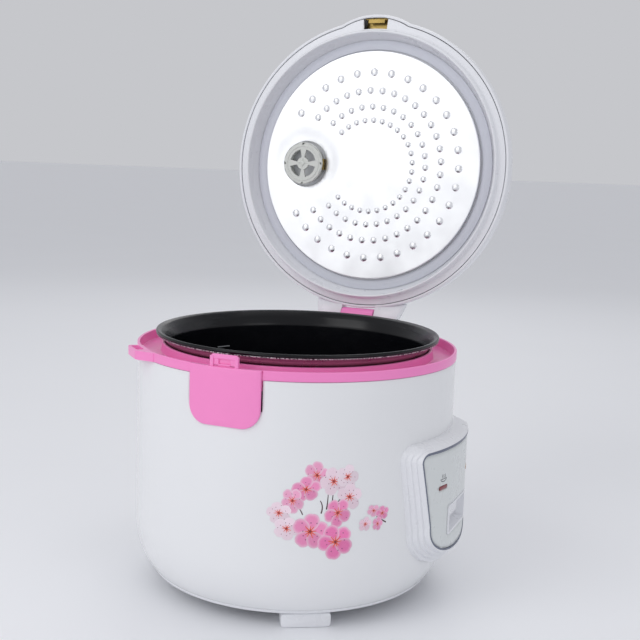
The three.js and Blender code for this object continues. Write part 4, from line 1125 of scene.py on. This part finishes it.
def blossom_print(petal):
    """A spray of five-petalled blossom: petals, stamens, dots and twigs, each a patch with its own ink."""
    rng = np.random.default_rng(11)
    patches, colours = [], []
    pale, heart, brown = (np.array(linear(h)) for h in ("#FAEAF3", "#7A1428", "#47242F"))
    stamen, dot, glow = (np.array(linear(h)) for h in ("#E8604A", "#8C4468", "#F2557E"))

    def lay(flat, ink, layer):
        patches.append(grid(wrapped(flat, layer), around=flat.shape[0] != 2))
        colours.append(np.broadcast_to(ink, (*flat.shape[:2], 4)).reshape(-1, 4))

    for path in TWIGS:
        ends = np.array(path[:6], float).reshape(3, 2)
        t = np.linspace(0, 1, 10)[:, None]
        curve = (1 - t) ** 2 * ends[0] + 2 * t * (1 - t) * ends[1] + t ** 2 * ends[2]
        lay(ribbon(curve, np.linspace(0.6, 1, 10) * path[6]), brown, 0)
    rings = np.array([0.001, 0.3, 0.55, 0.75, 0.9, 1.0])[:, None]
    phi = np.linspace(0, 2 * np.pi, 25)[None, :-1]
    for number, (s, z, size, turn, depth, squash) in enumerate(BLOSSOMS):
        base = 1 + 8 * number
        centre = np.array([s, z], float)
        lean = np.radians(rng.uniform(0, 180))
        main = pale + (np.array(petal) - pale) * depth

        def bend(local):
            along = np.array([np.cos(lean), np.sin(lean)])
            return centre + local - along * ((local @ along) * (1 - squash))[..., None]

        for k in range(5):
            a = np.radians(turn + 72 * k + rng.uniform(-5, 5))
            out = np.array([np.cos(a), np.sin(a)])
            side = np.array([-out[1], out[0]])
            rho = 0.43 * size * (1 + 0.22 * np.clip(-np.cos(phi), 0, 1) ** 3 - 0.1 * np.exp(-(phi / 0.3) ** 2)
                                 - 0.1 * np.exp(-((phi - 2 * np.pi) / 0.3) ** 2))
            reach = 0.57 * size + rings * rho * np.cos(phi)
            flat = reach[..., None] * out + (rings * rho * np.sin(phi))[..., None] * side
            far = np.clip(np.linalg.norm(flat, axis=-1) / size, 0, 1)[..., None]
            ink = main + (glow - main) * (0.75 * np.clip(1 - far / 0.42, 0, 1)) * (0.35 + 0.65 * depth)
            edge = smooth((np.broadcast_to(rings, far.shape[:2]) - 0.6) / 0.4)[..., None]
            ink = ink + (pale - ink) * (0.55 * edge)
            lay(bend(flat), ink * (1 - 0.04 * k), base + k)
        for k in range(9):
            a = np.radians(turn + 40 * k + rng.uniform(-10, 10))
            length = size * rng.uniform(0.28, 0.42)
            path = np.linspace(0.04 * size, length, 6)[:, None] * [np.cos(a), np.sin(a)]
            lay(bend(ribbon(path, np.linspace(0.09, 0.03, 6) * size)), stamen, base + 5)
            spot = path[-1] * rng.uniform(1.3, 1.9)
            t = np.linspace(0, 2 * np.pi, 11)[:-1]
            round_dot = np.stack([np.cos(t), np.sin(t)], 1) * 0.035 * size
            lay(bend(spot + np.array([0.01, 1])[:, None, None] * round_dot), dot, base + 6)
        star = np.linspace(0, 2 * np.pi, 21)[:-1]
        point = size * (0.085 + 0.05 * np.cos(5 * star))[:, None] * np.stack([np.cos(star), np.sin(star)], 1)
        lay(bend(np.array([0.01, 0.5, 1])[:, None, None] * point), heart, base + 7)
    return patches, np.concatenate(colours)


# ---- Operators: one for each piece or group of like pieces ------------------------------------------
class CookerOperator:
    bl_options = {"REGISTER", "UNDO"}

    @property
    def steps(self):
        return bpy.context.scene.cooker_sizes.round_steps


class COOKER_OT_finishes(CookerOperator, bpy.types.Operator):
    """Makes the finishes and gives one to every CAD node by its slot in the record"""

    bl_idname = "cooker.finishes"
    bl_label = "Finishes"

    def execute(self, context):
        made = build_materials(context.scene.cooker_colours, context.scene.cooker_sizes)
        for part in frame["record"]["subparts"]:
            node = frame["nodes"][part["node"]]
            node.data.materials.clear()
            node.data.materials.append(made[SLOT_FINISH[part["material_slot"]]])
        return {"FINISHED"}


class COOKER_OT_body(CookerOperator, bpy.types.Operator):
    """Builds the enamelled body, the base cover and the three feet"""

    bl_idname = "cooker.body"
    bl_label = "Body, base and feet"

    def execute(self, context):
        make_piece("body_shell", [shell_surface(self.steps)], [MATERIALS["enamel"]], "cooker_body",
                   ["outer_shell"], wall=1.2)
        make_piece("base_pan", base_pan(self.steps), [MATERIALS["white"]], "cooker_body", ["base_cover"],
                   wall=1.6)
        for k, azimuth in enumerate((30, 150, 270), 1):
            make_piece(f"foot_block_{k}", [foot_block(azimuth)], [MATERIALS["white"]], "cooker_body",
                       [f"foot_{k}"])
        return {"FINISHED"}


class COOKER_OT_ring(CookerOperator, bpy.types.Operator):
    """Builds the pink ring: band, drip trough, collar, paddle loop and hinge barrel"""

    bl_idname = "cooker.ring"
    bl_label = "Pink ring"

    def execute(self, context):
        make_piece("crown_ring", ring_patches(self.steps) + paddle_loop() + hinge_barrel(), [MATERIALS["pink"]],
                   "cooker_body", ["upper_ring"])
        return {"FINISHED"}


class COOKER_OT_latch(CookerOperator, bpy.types.Operator):
    """Builds the latch flap and its hook tab"""

    bl_idname = "cooker.latch"
    bl_label = "Latch"

    def execute(self, context):
        make_piece("latch_flap", latch_patches(), [MATERIALS["pink"]], "latch", ["latch_lever"])
        return {"FINISHED"}


class COOKER_OT_pot(CookerOperator, bpy.types.Operator):
    """Builds the inner pot with its level marks"""

    bl_idname = "cooker.pot"
    bl_label = "Inner pot"

    def execute(self, context):
        finishes = [MATERIALS[k] for k in ("coating", "pot_out", "cut_rim")]
        make_piece("pot_bowl", pot_patches(self.steps), finishes, "pot", ["inner_pot"])
        make_piece("pot_level_marks", level_marks(), [MATERIALS["tick"]], "pot")
        return {"FINISHED"}


class COOKER_OT_hearth(CookerOperator, bpy.types.Operator):
    """Builds the heat shield, the heating plate and the thermostat cap under the pot"""

    bl_idname = "cooker.hearth"
    bl_label = "Heat shield and heating plate"

    def execute(self, context):
        floor, top = span("heat_shield_drum", 2)
        drum = rounded([(28, floor), (116.2, floor, 6), (116.2, top, 0.3), (115.2, top, 0.3),
                        (115.2, floor + 1.2, 5), (28, floor + 1.2)], closed=True)
        make_piece("heat_shield", [turned(drum, self.steps, along=True)], [MATERIALS["zinc"]], "cooker_body",
                   ["heat_shield_drum"])
        low, high = span("heating_plate", 2)
        plate = rounded([(18.2, low), (92, low, 1), (92, high, 2.4), (64, high), (63, high - 0.4), (62, high),
                         (40, high), (39, high - 0.4), (38, high), (18.2, high, 0.8)], closed=True)
        make_piece("hot_plate", [turned(plate, self.steps, along=True)], [MATERIALS["cast"]], "cooker_body",
                   ["heating_plate"])
        low, high = span("thermostat_cup", 2)
        cap = rounded([(0.0001, low), (12.3, low), (12.3, low + 9.7), (16, low + 9.7), (16, low + 3.1),
                       (17, low + 3.1), (17, high, 1.2), (0.0001, high)])
        make_piece("thermostat_cap", [turned(cap, 96)], [MATERIALS["cast"]], "thermostat", ["thermostat_cup"])
        return {"FINISHED"}


class COOKER_OT_panel(CookerOperator, bpy.types.Operator):
    """Builds the control panel: surround, trim line, face, well, lamps, marks and the cook key"""

    bl_idname = "cooker.panel"
    bl_label = "Control panel"

    def execute(self, context):
        made, body = MATERIALS, "cooker_body"
        make_piece("panel_surround", panel_housing(), [made["white"]], body, ["panel_housing"],
                   sharp=60)
        make_piece("panel_trim_line", panel_trim(), [made["trim"]], body, ["panel_trim"])
        make_piece("panel_sheet", panel_face(), [made["face"]], body, ["panel_face"], wall=1.2)
        make_piece("key_well", well_tray(), [made["white"]], body, ["switch_well"])
        lens = [(0, 147.2), (0, 150.0), (0.25, 150.4), (0.6, 150.55), (1.2, 150.6)]
        for side, name, finish, slot in ((-1, "cook", "red", "lens_red"), (1, "warm", "amber", "lens_amber")):
            patch = tablet(lambda d: lamp_outline(side, d), lens, round_panel)
            make_piece(f"lamp_window_{name}", [patch], [made[finish]], body, [f"lamp_lens_{name}"])
        make_piece("panel_signs", panel_marks(), [made["ink"]], body)
        make_piece("key_knob", key_patches(), [made["white"]], "cook_key", ["cook_key"])
        return {"FINISHED"}


class COOKER_OT_inlet(CookerOperator, bpy.types.Operator):
    """Builds the power inlet and its three pins"""

    bl_idname = "cooker.inlet"
    bl_label = "Power inlet"

    def execute(self, context):
        make_piece("inlet_socket", inlet_patches(), [MATERIALS["black"]], "cooker_body", ["power_inlet"])
        for name, y, z in (("live", -7, -2.5), ("neutral", 7, -2.5), ("earth", 0, 3.5)):
            make_piece(f"contact_{name}", [pin_patch(-y, INLET_Z + z)], [MATERIALS["brass"]], "cooker_body",
                       [f"inlet_pin_{name}"])
        return {"FINISHED"}


class COOKER_OT_lid(CookerOperator, bpy.types.Operator):
    """Builds the lid: cover, hinge arms, liner, inner plate, gasket, valve, duct, clip, catch and cap"""

    bl_idname = "cooker.lid"
    bl_label = "Lid"

    def execute(self, context):
        made = MATERIALS
        bump_mm = context.scene.cooker_sizes.bump_height / MM
        valve_at = {"centre": (VALVE_X, 0)}
        gasket = rounded([
            (122.8, 221.1), (122.8, 220, 0.4), (118, 219.3, 6), (113.6, 220, 0.4), (113.6, 221.1)], closed=True)
        duct = rounded([(16.2, 221.2), (18.8, 221.2), (18.8, 245.6), (16.2, 245.6)], closed=True)
        catch = [
            block(-11.6, 11.6, 213.0, 220.0, 141.2, 142.4, facing_latch, 0.5, 0.25),
            block(-11.6, 11.6, 219.0, 220.0, 133.0, 142.4, facing_latch, 0.4, 0.2),
            block(-8.6, 8.6, 213.0, 214.4, 137.9, 142.0, facing_latch, 0.4, 0.3),
        ]
        clip = block(-5.5, 5.5, 213.4, 220.6, VALVE_X + 19.0, VALVE_X + 20.6, facing_panel, 0.8, 0.3)
        for name, patches, finish, node, slot, wall in (
            ("lid_dome", lid_cover_patches(self.steps) + hinge_arms(), "white", "lid_cover", "white_plastic", 0),
            ("lid_inner_liner", liner_patches(self.steps), "white", "lid_liner", "white_plastic", 0),
            ("drip_plate", plate_patches(bump_mm), "plate", "lid_plate", "aluminium", 0.7),
            ("lid_seal", [turned(gasket, self.steps, along=True)], "silicone", "lid_gasket", "silicone", 0),
            ("steam_valve", valve_patches(), "valve", "steam_valve_disc", "panel_grey", 0),
            ("steam_pipe", [turned(duct, 96, along=True, **valve_at)], "valve", "steam_duct", "panel_grey", 0),
            ("valve_spring_clip", [clip], "brass", "valve_clip", "brass", 0),
            ("catch_plate", catch, "brass", "strike_plate", "brass", 0),
        ):
            make_piece(name, patches, [made[finish]], "lid", [node], lid=True, wall=wall)
        make_piece("steam_cap_top", steam_cap_patches(), [made["white"]], "steam_cap", ["steam_cap"],
                   lid=True)
        return {"FINISHED"}


class COOKER_OT_print(CookerOperator, bpy.types.Operator):
    """Prints a plain spray of blossom on the body"""

    bl_idname = "cooker.blossom"
    bl_label = "Blossom print"

    def execute(self, context):
        patches, colours = blossom_print(tuple(context.scene.cooker_colours.petal))
        make_piece("blossom_transfer", patches, [MATERIALS["print"]], "cooker_body",
                   colours=colours.astype(np.float32))
        return {"FINISHED"}


class COOKER_OT_stage(CookerOperator, bpy.types.Operator):
    """Sets up the floor, the soft lights and the camera"""

    bl_idname = "cooker.stage"
    bl_label = "Floor, lights and camera"

    def execute(self, context):
        scene = context.scene
        scene.view_settings.view_transform = "Standard"
        far = 40.0  # metres, so that the floor runs to the horizon
        mesh = bpy.data.meshes.new("floor")
        mesh.from_pydata([(-far, -far, 0), (far, -far, 0), (far, far, 0), (-far, far, 0)], [], [(0, 1, 2, 3)])
        material, tree, shader = surface("floor_paper", {"Roughness": 0.55})
        mottle(tree, shader, noise(tree, 300, 2).outputs["Fac"], linear("#F6F7FA"), 0.02)
        mesh.materials.append(material)
        floor = bpy.data.objects.new("floor", mesh)
        scene.collection.objects.link(floor)
        world = bpy.data.worlds.new("studio")
        world.use_nodes = True
        world.node_tree.nodes["Background"].inputs["Color"].default_value = linear("#C6C7CB")
        world.node_tree.nodes["Background"].inputs["Strength"].default_value = 1.0
        scene.world = world
        for name, place, target, size, power in (
            ("key", (-0.9, -1.5, 1.7), (0, 0, 0.2), 1.3, 7.5),
            ("front", (-0.55, -1.35, 0.6), (0, 0, 0.3), 1.3, 3.5),
            ("fill", (1.7, -0.9, 0.9), (0, 0, 0.2), 1.0, 2.5),
            ("top", (0.2, 0.2, 1.9), (0, 0, 0.2), 1.2, 3),
            ("back", (-0.6, 1.6, 1.2), (0, 0, 0.2), 1.0, 2.5),
        ):
            light = bpy.data.lights.new(name, "AREA")
            light.size = size
            light.energy = power
            lamp = bpy.data.objects.new(name, light)
            lamp.location = place
            lamp.rotation_euler = (Vector(target) - Vector(place)).to_track_quat("-Z", "Y").to_euler()
            scene.collection.objects.link(lamp)
        camera = bpy.data.objects.new("camera", bpy.data.cameras.new("camera"))
        camera.data.lens = scene.cooker_sizes.camera_lens
        right, up = Vector((0.922673, 0.384035, 0.034526)), Vector((-0.088344, 0.123392, 0.988418))
        turn = Matrix((right, up, right.cross(up))).transposed()
        camera_at = np.array([355.48, -817.56, 361.05])  # from the body's axis, in mm
        camera.matrix_world = Matrix.Translation(Vector((camera_at + AXIS) * MM)) @ turn.to_4x4()
        scene.collection.objects.link(camera)
        scene.camera = camera
        return {"FINISHED"}


STEPS = (COOKER_OT_finishes, COOKER_OT_body, COOKER_OT_ring, COOKER_OT_latch, COOKER_OT_pot, COOKER_OT_hearth,
         COOKER_OT_panel, COOKER_OT_inlet, COOKER_OT_lid, COOKER_OT_print, COOKER_OT_stage)


class COOKER_PT_sidebar(bpy.types.Panel):
    """The cooker's settings and steps"""

    bl_idname = "COOKER_PT_sidebar"
    bl_label = "Rice cooker"
    bl_space_type = "VIEW_3D"
    bl_region_type = "UI"
    bl_category = "Rice cooker"

    def draw(self, context):
        for settings in (context.scene.cooker_sizes, context.scene.cooker_colours):
            for name in settings.__annotations__:
                self.layout.prop(settings, name)
        for step in STEPS:
            self.layout.operator(step.bl_idname)


CLASSES = (CookerColours, CookerSizes, *STEPS, COOKER_PT_sidebar)


def register():
    for cls in CLASSES:
        bpy.utils.register_class(cls)
    bpy.types.Scene.cooker_colours = bpy.props.PointerProperty(type=CookerColours)
    bpy.types.Scene.cooker_sizes = bpy.props.PointerProperty(type=CookerSizes)


def unregister():
    del bpy.types.Scene.cooker_colours
    del bpy.types.Scene.cooker_sizes
    for cls in reversed(CLASSES):
        bpy.utils.unregister_class(cls)


def main():
    register()
    for step in STEPS:
        group, name = step.bl_idname.split(".")
        getattr(getattr(bpy.ops, group), name)()
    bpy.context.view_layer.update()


if __name__ == "__main__":
    main()
